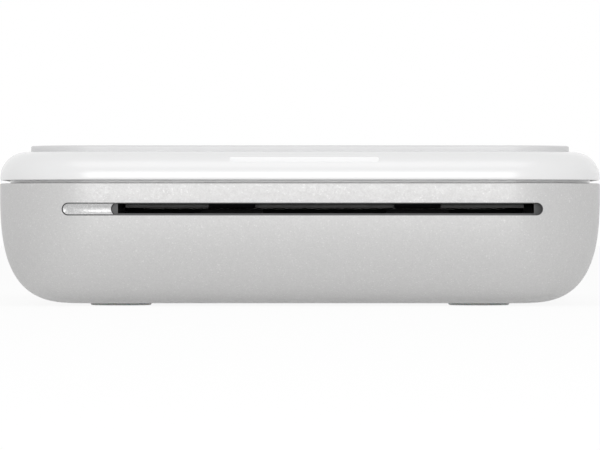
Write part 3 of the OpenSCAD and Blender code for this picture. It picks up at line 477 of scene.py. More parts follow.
def finish(name, colour, rough, metal=0.0, **fixed):
    """A finish with one shader, and what stays the same all over it set on the shader."""
    paint = bpy.data.materials.new(name)
    coat = Finish(paint)
    shader = coat.tree.nodes.new("ShaderNodeBsdfPrincipled")
    coat.shader = shader.inputs
    coat.feed(shader.inputs["Base Color"], colour)
    coat.feed(shader.inputs["Roughness"], rough)
    coat.feed(shader.inputs["Metallic"], metal)
    for socket, value in fixed.items():
        coat.feed(shader.inputs[socket.replace("_", " ")], value)
    coat.node("ShaderNodeOutputMaterial", inputs={"Surface": Socket(coat, shader.outputs[0])})
    coat.place = coat.node("ShaderNodeTexCoord", out="Object")
    return coat


def grain(coat, size, detail=2.0, stretch=None):
    """Noise from 0 to 1 whose grains are about this size; stretch squeezes it along each axis."""
    place = coat.place
    if stretch:
        place = coat.node("ShaderNodeMapping", inputs={"Vector": place, "Scale": stretch})
    return coat.node(
        "ShaderNodeTexNoise", inputs={"Vector": place, "Scale": 1 / size, "Detail": detail})


def flakes(coat, size):
    """Cells of about this size, each with one number from 0 to 1 of its own."""
    cells = coat.node(
        "ShaderNodeTexVoronoi", inputs={"Vector": coat.place, "Scale": 1 / size}, out="Color")
    return coat.node("ShaderNodeSeparateColor", inputs={"Color": cells})


def shades(coat, amount, dark, pale):
    """A colour between two, by an amount from 0 to 1."""
    return coat.node("ShaderNodeMix", {"data_type": "RGBA"}, {"Factor": amount, 6: dark, 7: pale}, out=2)


def along(coat, axis):
    """The place on the printer along X, Y or Z."""
    return coat.node("ShaderNodeSeparateXYZ", inputs={"Vector": coat.place}, out=axis)


def emboss(coat, height, depth):
    """Relief from a height from 0 to 1, this deep."""
    bump = coat.node("ShaderNodeBump", inputs={"Strength": 1.0, "Distance": depth, "Height": height})
    coat.vary("Normal", bump)


def joined(pieces, name):
    """One object of several, each of which stays a closed form."""
    alone(pieces[0])
    for piece in pieces:
        piece.select_set(True)
    bpy.ops.object.join()
    whole = bpy.context.object
    whole.name = name
    return whole


def window_bar(name, gap, y0, y1):
    """The window's outline before its right end is hollowed."""
    return stadium(name, lens_low.x + gap, slot_l, path_z, SLOT_H - 2 * gap, y0, y1, 20)


def hollow_end(bar, gap, y0, y1):
    """Makes room at the window's right end for the slot's round end."""
    slot_end = stadium("slot_end", mouth_l - gap, mouth_r, path_z, SLOT_H + 2 * gap, y0 - MM, y1 + MM, 20)
    carve(bar, slot_end)
    return bar


def opening_shade(coat):
    """1 on the walls of the opening for the window and the slot, which are darkened there as painted shade.
    """
    x = along(coat, "X")
    y = along(coat, "Y")
    z = along(coat, "Z")
    straight = (mouth_r - lens_low.x) / 2 - SLOT_H / 2
    past = ((x - (mouth_r + lens_low.x) / 2).size() - straight).larger(0)
    up = z - path_z
    rim = SLOT_H / 2 + 0.04 * MM
    return (1 - (past * past + up * up).above(rim * rim)) * (1 - y.above(front_y + OPENING_SHADE_IN))


def silver_paint():
    coat = finish("silver_paint", (0.5, 0.5, 0.495), 0.44, 0.26, Specular_IOR_Level=0.35)
    flake = flakes(coat, 0.13 * MM)
    cloud = grain(coat, 0.45 * MM, 3.0)
    glint = (flake - 0.95).larger(0) * 6
    amount = 0.32 + flake * 0.20 + cloud * 0.16 + glint
    sprayed = shades(coat, amount, (0.478, 0.475, 0.475), (0.693, 0.69, 0.685))
    painted_shade = opening_shade(coat)
    # Inside the opening the colour goes to dark grey and the metal goes out: painted shade of the recess.
    coat.vary("Base Color", shades(coat, painted_shade, sprayed, (0.17, 0.17, 0.172)))
    coat.vary("Metallic", (0.20 + flake * 0.15) * (1 - painted_shade))
    coat.vary("Roughness", 0.50 - flake * 0.12)
    emboss(coat, flake * 0.5 + cloud * 0.5, 0.004 * MM)
    return coat.owner


def boss_places():
    """Where the frame's screws and the board's screws go in, and how high their bosses are."""
    frame_row = [(sx * BOSS_X, y, DECK_Z) for sx in (-1, 1) for y in BOSS_Y]
    board_row = [(sx * board_hole_x, y, board_low.z) for sx in (-1, 1) for y in board_hole_y]
    return frame_row + board_row


def base_fittings():
    """Screw bosses, the ribs round the battery, and the seats of the sensor, the lamp and the keys."""
    low = base_z + WALL / 2
    parts = [pillar("boss", (x, y, low), BOSS_R, top - low) for x, y, top in boss_places()]
    for x in (cell_low.x - 1.1 * MM, cell_high.x + 0.3 * MM):
        parts.append(brick("rib", (x, cell_y - CELL_RIB / 2, low),
                           (x + 0.8 * MM, cell_y + CELL_RIB / 2, base_z + 4.1 * MM)))
    for x in (key_x, reset_x):
        parts.append(brick("rib", (x - KEY_RIB / 2, board_high.y + 0.1 * MM, low),
                           (x + KEY_RIB / 2, back_y - WALL + 0.4 * MM, board_low.z - 1.2 * MM)))
    parts.append(brick("eye_post", (eye_low.x, eye_low.y, low), (eye_high.x, eye_high.y, eye_low.z)))
    parts.append(brick("sign_rib", (sign_low.x - 0.4 * MM, sign_high.y + 0.05 * MM, low),
                       (sign_high.x, sign_high.y + 0.65 * MM, path_z - MM)))
    fittings = joined(parts, "fittings")
    carve(fittings, bowl("inside_skin", 0.8 * MM, base_z + 0.8 * MM, base_top, 0), "INTERSECT")
    holes = [pillar("pilot", (x, y, top - 5 * MM), PILOT_R, 6 * MM, steps=24) for x, y, top in boss_places()]
    carve(fittings, joined(holes, "pilots"))
    return fittings


def base_shell():
    """The bowl, with its slot, its window, the openings at the back and the seats of the feet."""
    shell = bowl("base_shell", 0, base_z, base_top, RIM_ROUND)
    carve(shell, bowl("inside", WALL, base_z + WALL, base_top, 0))
    mouth = stadium("mouth", mouth_l, mouth_r, path_z, SLOT_H, front_y - MM, front_y + CORNER_R, 20)
    carve(mouth, bowl("mouth_floor", MOUTH_DEEP, base_z + MOUTH_DEEP, base_top, 0))
    carve(shell, mouth)
    carve(shell, brick("slit", (slot_l, front_y - MM, path_z - SLIT_LOW),
                       (slot_r, front_y + 3 * MM, path_z + SLIT_HIGH)))
    near, far = front_y - MM, front_y + CORNER_R
    carve(shell, hollow_end(window_bar("window_hole", 0, near, far), 0, near, far))
    near = back_y - WALL - MM
    carve(shell, stadium("usb_hole", usb_low.x - 0.3 * MM, usb_high.x + 0.3 * MM, usb_z,
                         usb_high.z - usb_low.z + 0.6 * MM, near, back_y + MM))
    for x, r in ((key_x, KEY_HOLE_R), (reset_x, RESET_HOLE_R), (light_x, LIGHT_HOLE_R)):
        carve(shell, pillar("rear_hole", (x, near, control_z), r, WALL + 2 * MM, "Y", 64))
    seats = [pillar("seat", (sx * foot_x, sy * foot_y, -MM), FOOT_R + 0.05 * MM, feet_high.z + MM, steps=64)
             for sx in (-1, 1) for sy in (-1, 1)]
    carve(shell, joined(seats, "seats"))
    return joined([shell, base_fittings()], "base_shell")


base = base_shell()
smooth(base)
silver = silver_paint()
stand_in(base, "base_housing", silver)

# ---------- rubber feet ----------
# Four clear silicone discs, pressed into round seats in the bottom of the bowl.
# Each has a soft outer edge and a shallow dish, so that it grips like a sucker.


def copies(piece, places, name):
    """Copies a piece that is modelled at the origin to each place or matrix, as one object."""
    made = []
    for place in places:
        twin = piece.copy()
        twin.data = piece.data.copy()
        twin.data.transform(place if isinstance(place, Matrix) else Matrix.Translation(place))
        bpy.context.scene.collection.objects.link(twin)
        made.append(twin)
    bpy.data.objects.remove(piece)
    return joined(made, name)


def foot():
    """One disc, standing on the table."""
    disc = pillar("foot", (0, 0, 0), FOOT_R, feet_high.z, steps=64)
    edit(disc)
    pick(disc, lambda f: f.normal.z < -0.9)
    bpy.ops.mesh.bevel(offset=0.22 * MM, segments=4, affect="EDGES")
    pick(disc, lambda f: f.normal.z < -0.9 and f.calc_area() > 20 * MM * MM)
    bpy.ops.mesh.inset(thickness=0.7 * MM)
    bpy.ops.mesh.inset(thickness=0.5 * MM, depth=-0.08 * MM)
    bpy.ops.mesh.inset(thickness=1.2 * MM, depth=-0.06 * MM)
    return leave(disc)


def silicone():
    coat = finish("silicone", (0.80, 0.80, 0.79), 0.5, Subsurface_Weight=0.25, Subsurface_Scale=0.001)
    dust = grain(coat, 0.9 * MM, 4.0)
    coat.vary("Roughness", 0.42 + dust * 0.2)
    coat.vary("Base Color", shades(coat, dust, (0.76, 0.76, 0.75), (0.83, 0.83, 0.82)))
    emboss(coat, grain(coat, 0.15 * MM), 0.006 * MM)
    return coat.owner


feet = copies(foot(), [(sx * foot_x, sy * foot_y, 0) for sx in (-1, 1) for sy in (-1, 1)], "feet")
smooth(feet)
stand_in(feet, "rubber_feet", silicone())

# ---------- status window ----------
# A light window at the left of the slot, painted with the base so that it only shows when lit.
# Its face is a long shallow dish, and its right end makes room for the slot's round end.
WINDOW_IN = 0.20 * MM
WINDOW_T = 1.1 * MM
WINDOW_GAP = 0.07 * MM
WINDOW_CUTS = 24
DISH_DEEP = 0.16 * MM
CORNER_X = body_w / 2 - CORNER_R


def side_in(x, z):
    """How far the body's front lies behind the front face at a place."""
    t = (base_top - z) / (base_top - base_z)
    drawn = BELLY_IN * (1 - (1 - t ** BELLY_POWER) ** (1 / BELLY_POWER))
    past = max(abs(x) - CORNER_X, 0)
    r = CORNER_R - drawn
    return drawn + r - math.sqrt(max(r * r - past * past, 0))


def status_window():
    """The window as a flat bar with a dished face, laid on the curve of the body."""
    bar = window_bar("status_window", WINDOW_GAP, 0, WINDOW_T)
    edit(bar)
    pick(bar, lambda f: f.normal.y < -0.9)
    bpy.ops.mesh.inset(thickness=0.06 * MM, depth=0.02 * MM)
    for share in (0.34, 0.27, 0.2, 0.13, 0.06):
        bpy.ops.mesh.inset(thickness=0.11 * MM, depth=-share * DISH_DEEP, use_even_offset=False)
    leave(bar)
    hollow_end(bar, WINDOW_GAP, 0, WINDOW_T)
    edit(bar)
    for i in range(1, WINDOW_CUTS):
        x = lens_low.x + (lens_high.x - lens_low.x) * i / WINDOW_CUTS
        select_whole()
        bpy.ops.mesh.bisect(plane_co=(x, 0, 0), plane_no=(1, 0, 0))
    select_whole()
    bpy.ops.mesh.normals_make_consistent(inside=False)
    leave(bar)
    for v in bar.data.vertices:
        v.co.y += front_y + WINDOW_IN + side_in(v.co.x, v.co.z)
    return bar


window = status_window()
smooth(window, 36)


def window_paint():
    coat = finish("window_paint", (0.5, 0.5, 0.5), 0.3, 0.35, Coat_Weight=0.4, Coat_Roughness=0.08)
    flake = flakes(coat, 0.14 * MM)
    amount = 0.35 + flake * 0.5 + (flake - 0.85).larger(0) * 4
    coat.vary("Base Color", shades(coat, amount, (0.40, 0.40, 0.40), (0.62, 0.62, 0.62)))
    coat.vary("Metallic", 0.3 + flake * 0.3)
    emboss(coat, flake, 0.006 * MM)
    return coat.owner


stand_in(window, "status_lens", window_paint())

# ---------- exit guide ----------
# A black funnel behind the slot that leads the sheet out. It is moulded, with a fine matt texture.


def softened(node, width, name=None):
    """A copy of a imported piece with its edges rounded, as a moulding or a pressing has them."""
    degrees = 35
    twin = frame["nodes"][node].copy()
    twin.data = twin.data.copy()
    twin.name = name or node + "_part"
    twin.parent = None
    for key in list(twin.keys()):
        del twin[key]
    bpy.context.scene.collection.objects.link(twin)
    edit(twin)
    select_whole()
    bpy.ops.mesh.remove_doubles(threshold=1e-6)
    bpy.ops.mesh.dissolve_limited(angle_limit=math.radians(1))
    select_whole()
    bpy.ops.mesh.normals_make_consistent(inside=False)
    leave(twin)
    modify(twin, "BEVEL", width=width, segments=2, limit_method="ANGLE",
           angle_limit=math.radians(degrees), harden_normals=False)
    modify(twin, "TRIANGULATE")
    smooth(twin, degrees)
    modify(twin, "WEIGHTED_NORMAL", keep_sharp=True)
    return twin


def swap(node, paint, width):
    """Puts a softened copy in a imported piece's place."""
    stand_in(softened(node, width), node, paint)


def moulded(name, dark, pale, rough, texture=0.08 * MM, deep=0.006 * MM, **fixed):
    """A moulded plastic: spark-eroded texture, slow changes of shade, and slightly shiny where worn."""
    coat = finish(name, pale, rough, **fixed)
    cloud = grain(coat, 6 * MM, 3.0)
    fine = grain(coat, texture, 2.0)
    coat.vary("Base Color", shades(coat, cloud * 0.7 + fine * 0.3, dark, pale))
    coat.vary("Roughness", rough - 0.08 + cloud * 0.12 + fine * 0.06)
    emboss(coat, fine, deep)
    return coat.owner


black_plastic = moulded("black_plastic", (0.010, 0.010, 0.011), (0.022, 0.022, 0.024), 0.42)
matt_black = moulded("matt_black", (0.006, 0.006, 0.006), (0.012, 0.012, 0.012), 0.72, Specular_IOR_Level=0.2)
swap("exit_guide", matt_black, 0.06 * MM)

# ---------- status light ----------
# A small upright board behind the window, with one white lamp soldered to it.


def board_green():
    """Solder mask over copper: fine tracks show through it as slightly paler lines."""
    coat = finish("board_green", (0.012, 0.10, 0.042), 0.28, Coat_Weight=0.5, Coat_Roughness=0.12)
    cells = coat.node("ShaderNodeTexBrick", {"offset": 0.37, "squash": 0.6}, {
        "Vector": coat.place, "Scale": 240.0, "Mortar Size": 0.12, "Brick Width": 1.7, "Row Height": 0.42},
        out="Fac")
    cloud = grain(coat, 7 * MM, 2.0)
    tracks = cells * (cloud - 0.42).above(0)
    coat.vary("Base Color", shades(coat, tracks, (0.010, 0.085, 0.036), (0.022, 0.165, 0.075)))
    coat.vary("Roughness", 0.24 + grain(coat, 0.5 * MM) * 0.1)
    emboss(coat, tracks, 0.02 * MM)
    return coat.owner


def bevelled(piece, width, steps=2, degrees=40, shaded=40):
    """Rounds the edges that are sharper than these degrees."""
    modify(piece, "BEVEL", width=width, segments=steps, limit_method="ANGLE",
           angle_limit=math.radians(degrees))
    smooth(piece, shaded)
    return piece


green = board_green()
lamp_low = Vector((lens_low.x + 0.78 * MM, sign_low.y, path_z - 0.6 * MM))
sign = bevelled(brick("status_card", (sign_low.x, lamp_low.y + 0.8 * MM, sign_low.z), sign_high), 0.04 * MM)
stand_in(sign, "status_board", green)
lamp = brick("status_lamp", lamp_low, lamp_low + Vector((1.6 * MM, 0.8 * MM, 1.2 * MM)))
edit(lamp)
pick(lamp, lambda f: f.normal.y < -0.9)
bpy.ops.mesh.inset(thickness=0.15 * MM, depth=0.12 * MM)
bpy.ops.mesh.inset(thickness=0.08 * MM, depth=-0.06 * MM)
leave(lamp)
bevelled(lamp, 0.04 * MM)


def warm_white():
    coat = finish("warm_white", (0.80, 0.79, 0.72), 0.4, Coat_Weight=0.4)
    speck = grain(coat, 0.06 * MM)
    coat.vary("Base Color", shades(coat, speck, (0.76, 0.72, 0.55), (0.83, 0.82, 0.76)))
    emboss(coat, speck, 0.004 * MM)
    return coat.owner


dress(lamp, warm_white(), "chassis")

# ---------- side plates and bridge ----------
# Zinc-plated sheet steel, 0.8 mm thick, blanked and pierced, so the edges are slightly rolled.
# The two plates carry every shaft, and the bridge ties them over the print head.


def brushed(name, dark, pale, rough, stretch, metal=1.0):
    """Bare metal with a rolling or turning direction, cloudy stains and a few rubs."""
    coat = finish(name, pale, rough, metal)
    lines = grain(coat, 0.5 * MM, 3.0, stretch)
    cloud = grain(coat, 3.5 * MM, 4.0)
    rub = (grain(coat, 1.3 * MM, 6.0) - 0.62).larger(0) * 2.2
    coat.vary("Base Color", shades(coat, lines * 0.45 + cloud * 0.55, dark, pale))
    coat.vary("Roughness", rough + lines * 0.12 + cloud * 0.08 - rub * 0.12)
    emboss(coat, lines, 0.004 * MM)
    return coat.owner


sheet_steel = brushed("sheet_steel", (0.40, 0.405, 0.41), (0.60, 0.60, 0.61), 0.30, (1, 0.12, 6))
for node in ("left_side_plate", "right_side_plate", "head_bridge"):
    swap(node, sheet_steel, 0.07 * MM)

# ---------- shafts and rollers ----------
# Ground steel shafts turn in acetal bushes. The two behind the slot are painted near black, as painted shade
# inside the slot. The platen and the tyres are moulded on in rubber and ground true, so they show fine rings.


def turned(name, centre, profile, axis="X", steps=48):
    """A lathe part: one point is drawn along [place on the axis, radius] and spun round the axis."""
    bpy.ops.mesh.primitive_plane_add(size=MM)
    part = bpy.context.object
    part.name = name
    edit(part)
    bpy.ops.mesh.select_mode(type="VERT")
    select_whole()
    bpy.ops.mesh.merge(type="CENTER")
    place, radius = profile[0]
    bpy.ops.transform.translate(value=(place, 0, radius))
    for next_place, next_radius in profile[1:]:
        step = (next_place - place, 0, next_radius - radius)
        bpy.ops.mesh.extrude_region_move(TRANSFORM_OT_translate={"value": step})
        place, radius = next_place, next_radius
    select_whole()
    bpy.ops.mesh.spin(steps=steps, angle=2 * math.pi, center=(0, 0, 0), axis=(1, 0, 0))
    select_whole()
    bpy.ops.mesh.remove_doubles(threshold=1e-7)
    bpy.ops.mesh.normals_make_consistent(inside=False)
    bpy.ops.object.mode_set(mode="OBJECT")
    turn = {"X": Matrix(),
            "Y": Matrix.Rotation(math.pi / 2, 4, "Z"),
            "Z": Matrix.Rotation(-math.pi / 2, 4, "Y")}
    part.data.transform(Matrix.Translation(centre) @ turn[axis])
    smooth(part, 40)
    return part


def middle(node):
    low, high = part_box(node)
    return (low + high) / 2


def rod(name, node, r, x0, x1, grooves=()):
    """A shaft along X with chamfered ends, and grooves for its clips."""
    c = middle(node)
    soft = r * 0.22
    line = [(x0, 0), (x0, r - soft), (x0 + soft, r)]
    for g in grooves:
        line += [(g - 0.16 * MM, r), (g - 0.14 * MM, r * 0.78), (g + 0.14 * MM, r * 0.78), (g + 0.16 * MM, r)]
    line += [(x1 - soft, r), (x1, r - soft), (x1, 0)]
    return turned(name, (0, c.y, c.z), line)


def sleeve(name, node, r, bore, x0, x1, soft=0.15 * MM, steps=64):
    """A ring along X with rounded corners."""
    c = middle(node)
    line = [(x0, bore), (x0, r - soft), (x0 + soft * 0.3, r - soft * 0.3), (x0 + soft, r),
            (x1 - soft, r), (x1 - soft * 0.3, r - soft * 0.3), (x1, r - soft), (x1, bore), (x0, bore)]
    return turned(name, (0, c.y, c.z), line, steps=steps)


def ground_rubber():
    coat = finish("ground_rubber", (0.022, 0.022, 0.023), 0.72)
    rings = grain(coat, 0.35 * MM, 2.0, (4, 0.2, 0.2))
    pores = grain(coat, 0.06 * MM, 2.0)
    dust = (grain(coat, 1.5 * MM, 5.0) - 0.6).larger(0)
    worn = rings * 0.3 + dust * 1.4
    coat.vary("Base Color", shades(coat, worn, (0.014, 0.014, 0.015), (0.055, 0.054, 0.052)))
    coat.vary("Roughness", 0.62 + pores * 0.16)
    emboss(coat, rings * 0.5 + pores * 0.5, 0.01 * MM)
    return coat.owner


shaft_steel = brushed("shaft_steel", (0.46, 0.46, 0.47), (0.66, 0.66, 0.67), 0.18, (7, 0.3, 0.3))
# Near-black steel for the two shafts seen through the slot: painted shade of the slot's inside.
slot_shade_steel = brushed("slot_shade_steel", (0.030, 0.030, 0.032), (0.060, 0.060, 0.063), 0.42, (7, 0.3, 0.3), 0.6)
rubber = ground_rubber()
for name, r in (("platen_shaft", 1.0), ("exit_shaft", 0.75), ("pick_shaft", 1.0), ("pinch_shaft", 0.5)):
    low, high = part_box(name)
    clips = () if name == "pinch_shaft" else (high.x - 0.35 * MM,)
    piece = rod(name + "_turned", name, r * MM, low.x, high.x, clips)
    seen_in_slot = name in ("exit_shaft", "pinch_shaft")
    stand_in(piece, name, slot_shade_steel if seen_in_slot else shaft_steel)

roll_low, roll_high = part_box("platen_roller")
platen = sleeve("platen_rubber", "platen_roller", roll_high.z - middle("platen_roller").z, 1.02 * MM,
                roll_low.x, roll_high.x, 0.25 * MM, 96)
stand_in(platen, "platen_roller", rubber)


def pair(name, node, r, bore, near, width):
    """Two rings that stand at equal distances from the middle of the paper."""
    spans = [(PAPER_X + near, PAPER_X + near + width), (PAPER_X - near - width, PAPER_X - near)]
    return joined([sleeve(name, node, r, bore, a, b) for a, b in spans], name)


PAPER_X = 3.2 * MM
black_wheel = moulded("black_wheel", (0.010, 0.010, 0.011), (0.020, 0.020, 0.022), 0.55)
for node, r, bore, near, width, paint, slot in (
        ("exit_tyres", 2.0, 0.77, 8, 8, rubber, "rubber"),
        ("pick_tyres", 3.4, 1.02, 6, 6, rubber, "rubber"),
        ("pinch_wheels", 1.2, 0.52, 9, 6, black_wheel, "black_plastic")):
    piece = pair(node + "_turned", node, r * MM, bore * MM, near * MM, width * MM)
    stand_in(piece, node, paint)

# ---------- gears and bushes ----------
# Natural acetal, injection moulded: slightly waxy, with edges rounded by the mould.
# The motor's pinion is brass, and the gears turn on steel stub axles.


def acetal():
    coat = finish("acetal", (0.72, 0.70, 0.62), 0.38, Subsurface_Weight=0.15, Subsurface_Scale=0.0008)
    cloud = grain(coat, 2.2 * MM, 3.0)
    fine = grain(coat, 0.12 * MM, 2.0)
    grease = (grain(coat, 0.9 * MM, 4.0) - 0.56).larger(0) * 3
    coat.vary("Base Color", shades(coat, cloud, (0.66, 0.635, 0.55), (0.77, 0.755, 0.69)))
    coat.vary("Roughness", 0.44 + fine * 0.1 - grease * 0.2)
    emboss(coat, fine, 0.005 * MM)
    return coat.owner


gear_plastic = acetal()
GEARS = ("platen_gear", "exit_gear", "exit_idler", "pick_gear", "pick_idler", "reduction_gear_b",
         "reduction_gear_a")
for node in GEARS:
    swap(node, gear_plastic, 0.045 * MM)
swap("platen_bushes", gear_plastic, 0.08 * MM)
brass = brushed("brass_turned", (0.50, 0.34, 0.11), (0.74, 0.55, 0.24), 0.24, (5, 0.4, 0.4))
swap("motor_pinion", brass, 0.03 * MM)
swap("gear_axles", shaft_steel, 0.08 * MM)

# ---------- feed motor ----------
# A drawn steel can with a rolled edge and a black end cap. Two tabs on the cap take the lead.
can_low, can_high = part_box("feed_motor")
CAN_R = 4 * MM
can_mid = middle("feed_motor")
motor_x0 = can_low.x + 0.8 * MM
motor_x1 = can_high.x - 0.8 * MM


def motor_can():
    """Can, bearing seats and a pressed step near each end, in one profile."""
    s = 0.3 * MM
    return turned("motor_can", (0, can_mid.y, can_mid.z), [
        (can_low.x, 0.56 * MM), (can_low.x, 1.4 * MM), (can_low.x + 0.1 * MM, 1.5 * MM), (motor_x0, 1.5 * MM),
        (motor_x0, CAN_R - s), (motor_x0 + 0.1 * MM, CAN_R - 0.1 * MM), (motor_x0 + s, CAN_R),
        (motor_x0 + 2.2 * MM, CAN_R), (motor_x0 + 2.35 * MM, CAN_R - 0.12 * MM),
        (motor_x0 + 2.6 * MM, CAN_R - 0.12 * MM), (motor_x0 + 2.75 * MM, CAN_R), (motor_x1 - 1.6 * MM, CAN_R),
        (motor_x1 - 1.5 * MM, CAN_R - 0.25 * MM), (motor_x1 - 1.5 * MM, 0.56 * MM), (can_low.x, 0.56 * MM)],
        steps=72)


def motor_cap():
    cap_in = CAN_R - 0.25 * MM
    return turned("motor_cap", (0, can_mid.y, can_mid.z), [
        (motor_x1 - 1.5 * MM, 0), (motor_x1 - 1.5 * MM, cap_in), (motor_x1 - 0.3 * MM, cap_in),
        (motor_x1, cap_in - 0.3 * MM), (motor_x1, 1.6 * MM), (motor_x1 + 0.1 * MM, 1.5 * MM),
        (can_high.x - 0.1 * MM, 1.5 * MM), (can_high.x, 1.35 * MM), (can_high.x, 0)], steps=64)


can_steel = brushed("can_steel", (0.42, 0.42, 0.43), (0.64, 0.64, 0.65), 0.22, (0.3, 3, 3))
stand_in(motor_can(), "feed_motor", can_steel)
dress(motor_cap(), black_plastic, "chassis")

# ---------- print head ----------
# A glazed alumina bar on an extruded aluminium heat sink. The heating line is a low ridge of
# glaze across the bar. Two springs under the bridge press it on the platen.
print_y = front_y + 13.15 * MM


def alumina():
    """Ceramic, with gold tracks that run from the heating line to the back edge. Its front
    edge, which shows through the slot, is painted black as painted shade inside the slot."""
    coat = finish("alumina", (0.80, 0.78, 0.71), 0.25, Coat_Weight=0.6, Coat_Roughness=0.06)
    across = along(coat, "X")
    back = along(coat, "Y")
    comb = (across * (2 * math.pi / (0.5 * MM))).wave().above(0.1)
    gold = comb * back.above(print_y + 0.7 * MM) * (1 - back.above(print_y + 3.4 * MM))
    glaze = shades(coat, gold, (0.78, 0.76, 0.69), (0.72, 0.50, 0.17))
    # In front of this edge the bar is near black and has no coat: painted shade where the slot shows it.
    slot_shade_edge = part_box("print_head")[0].y + 0.4 * MM
    coat.vary("Base Color", shades(coat, back.above(slot_shade_edge), (0.012, 0.012, 0.012), glaze))
    coat.vary("Metallic", gold)
    coat.vary("Coat Weight", back.above(slot_shade_edge) * 0.6)
    emboss(coat, gold + grain(coat, 0.2 * MM) * 0.3, 0.01 * MM)
    return coat.owner


stand_in(softened("print_head", 0.05 * MM, "head_bar"), "print_head", alumina())
plain_alu = brushed("extruded_alu", (0.52, 0.53, 0.54), (0.72, 0.73, 0.74), 0.34, (0.08, 5, 5))
swap("heat_sink", plain_alu, 0.06 * MM)
CLOSED_TURN = 0.75
COIL_STEPS = 28


def coil(name, place, r, wire, h, turns):
    """A compression spring: the wire's outline is turned up by the Screw modifier, and its two
    end turns lie closed."""
    bpy.ops.mesh.primitive_circle_add(vertices=10, radius=wire, fill_type="NOTHING")
    spring = bpy.context.object
    spring.name = name
    edit(spring)
    select_whole()
    bpy.ops.transform.rotate(value=math.pi / 2, orient_axis="X", center_override=(0, 0, 0))
    bpy.ops.transform.translate(value=(r, 0, 0))
    leave(spring)
    rings = COIL_STEPS * turns
    modify(spring, "SCREW", axis="Z", angle=2 * math.pi * turns, screw_offset=1.0, steps=rings,
           render_steps=rings, use_smooth_shade=True, use_normal_calculate=True)
    edit(spring)
    bpy.ops.mesh.select_mode(type="EDGE")
    bpy.ops.mesh.select_all(action="DESELECT")
    bpy.ops.mesh.select_non_manifold()
    bpy.ops.mesh.edge_face_add()
    select_whole()
    bpy.ops.mesh.normals_make_consistent(inside=False)
    leave(spring)
    rise = h - 2 * wire
    shut = CLOSED_TURN / turns
    closed = 2 * wire * CLOSED_TURN
    for v in spring.data.vertices:
        ring = round(v.co.z * rings) / rings
        off = v.co.z - ring
        free = min(max((ring - shut) / (1 - 2 * shut), 0), 1)
        ends = min(ring, shut) + max(ring - 1 + shut, 0)
        v.co.z = wire + free * (rise - 2 * closed) + ends * closed / shut + off
    spring.data.transform(Matrix.Translation(place))
    smooth(spring, 60)
    return spring


spring_wire = brushed("spring_wire", (0.42, 0.42, 0.43), (0.62, 0.62, 0.63), 0.22, (3, 3, 3))
hs_low, hs_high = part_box("head_springs")
head_spring_y = (hs_low.y + hs_high.y) / 2
head_coils = joined([
    coil("head_coil", (PAPER_X + sx * 16 * MM, head_spring_y, hs_low.z), 1.1 * MM, 0.15 * MM,
         hs_high.z - hs_low.z, 4) for sx in (-1, 1)], "head_coils")
stand_in(head_coils, "head_springs", spring_wire)
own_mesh(head_coils)

# ---------- flat cable ----------
# A strip of amber polyimide with copper tracks inside, folded along the right-hand wall. Its top
# end is bonded to the heat sink; the strip stays put and does not follow the head.


def polyimide():
    coat = finish("polyimide", (0.50, 0.22, 0.035), 0.22, Coat_Weight=0.5, Coat_Roughness=0.08)
    z = along(coat, "Z")
    tracks = (z * (2 * math.pi / (0.6 * MM))).wave().above(0.15)
    coat.vary("Base Color", shades(coat, tracks * 0.75, (0.50, 0.20, 0.03), (0.62, 0.30, 0.10)))
    coat.vary("Roughness", 0.18 + grain(coat, 1.2 * MM, 3.0) * 0.12)
    emboss(coat, tracks, 0.015 * MM)
    return coat.owner


flat_cable = softened("head_flex", 0.04 * MM)
flat_cable.data.materials.clear()
flat_cable.data.materials.append(polyimide())
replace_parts(flat_cable, "head_flex")
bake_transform(flat_cable)

# ---------- battery ----------
# A lithium pouch: foil laminate heat-sealed round a flat cell, its seams folded up the sides
# and its protection board under amber tape. A foam pad holds it to the floor.
TAPE_D = 2 * MM
pad_low, pad_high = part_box("battery_pad")


def soft_block(name, low, high, cuts, width, steps, shaded=50):
    """A block of many faces with round edges."""
    block = brick(name, low, high)
    edit(block)
    select_whole()
    bpy.ops.mesh.subdivide(number_cuts=cuts)
    leave(block)
    return bevelled(block, width, steps, 60, shaded)


def pouch():
    """The cell with soft, slightly crowned faces, and the sealed flap at its back."""
    body = soft_block("cell", cell_low, cell_high - Vector((0, TAPE_D, 0)), 11, 0.9 * MM, 5)
    wide = (cell_high.x - cell_low.x) / 2
    deep = (cell_high.y - cell_low.y) / 2
    mid = (cell_low + cell_high) / 2
    for v in body.data.vertices:
        u = min(abs(v.co.x - mid.x) / wide, 1)
        w = min(abs(v.co.y - mid.y) / deep, 1)
        crown = (1 - u ** 4) * (1 - w ** 4)
        v.co.z -= 0.35 * MM * (1 - crown) * (1 if v.co.z > mid.z else -0.3)
    fold = 0.35 * MM
    sides = [bevelled(brick("seam", (x, cell_low.y + 1.4 * MM, cell_low.z + 1.2 * MM),
                            (x + fold, cell_high.y - 2.6 * MM, cell_high.z - 1.1 * MM)), 0.12 * MM)
             for x in (cell_low.x, cell_high.x - fold)]
    smooth(body, 50)
    return joined([body] + sides, "battery_pouch")


def foil():
    coat = finish("foil", (0.50, 0.51, 0.53), 0.38, 0.85)
    crease = coat.node("ShaderNodeTexNoise", {"noise_type": "RIDGED_MULTIFRACTAL"}, {
        "Vector": coat.place, "Scale": 1 / (9 * MM), "Detail": 3.0})
    cloud = grain(coat, 5 * MM, 3.0)
    coat.vary("Base Color", shades(coat, cloud, (0.44, 0.45, 0.47), (0.58, 0.59, 0.61)))
    coat.vary("Roughness", 0.30 + cloud * 0.16)
    emboss(coat, crease + grain(coat, 0.5 * MM) * 0.2, 0.05 * MM)
    return coat.owner


def taped_end():
    """The protection board under its tape, which is drawn tight over the parts."""
    low = (cell_low.x + MM, cell_high.y - TAPE_D, cell_low.z + 0.6 * MM)
    return soft_block("taped_end", low, (cell_high.x - MM, cell_high.y, cell_high.z - 1.2 * MM),
                      15, 0.4 * MM, 4)


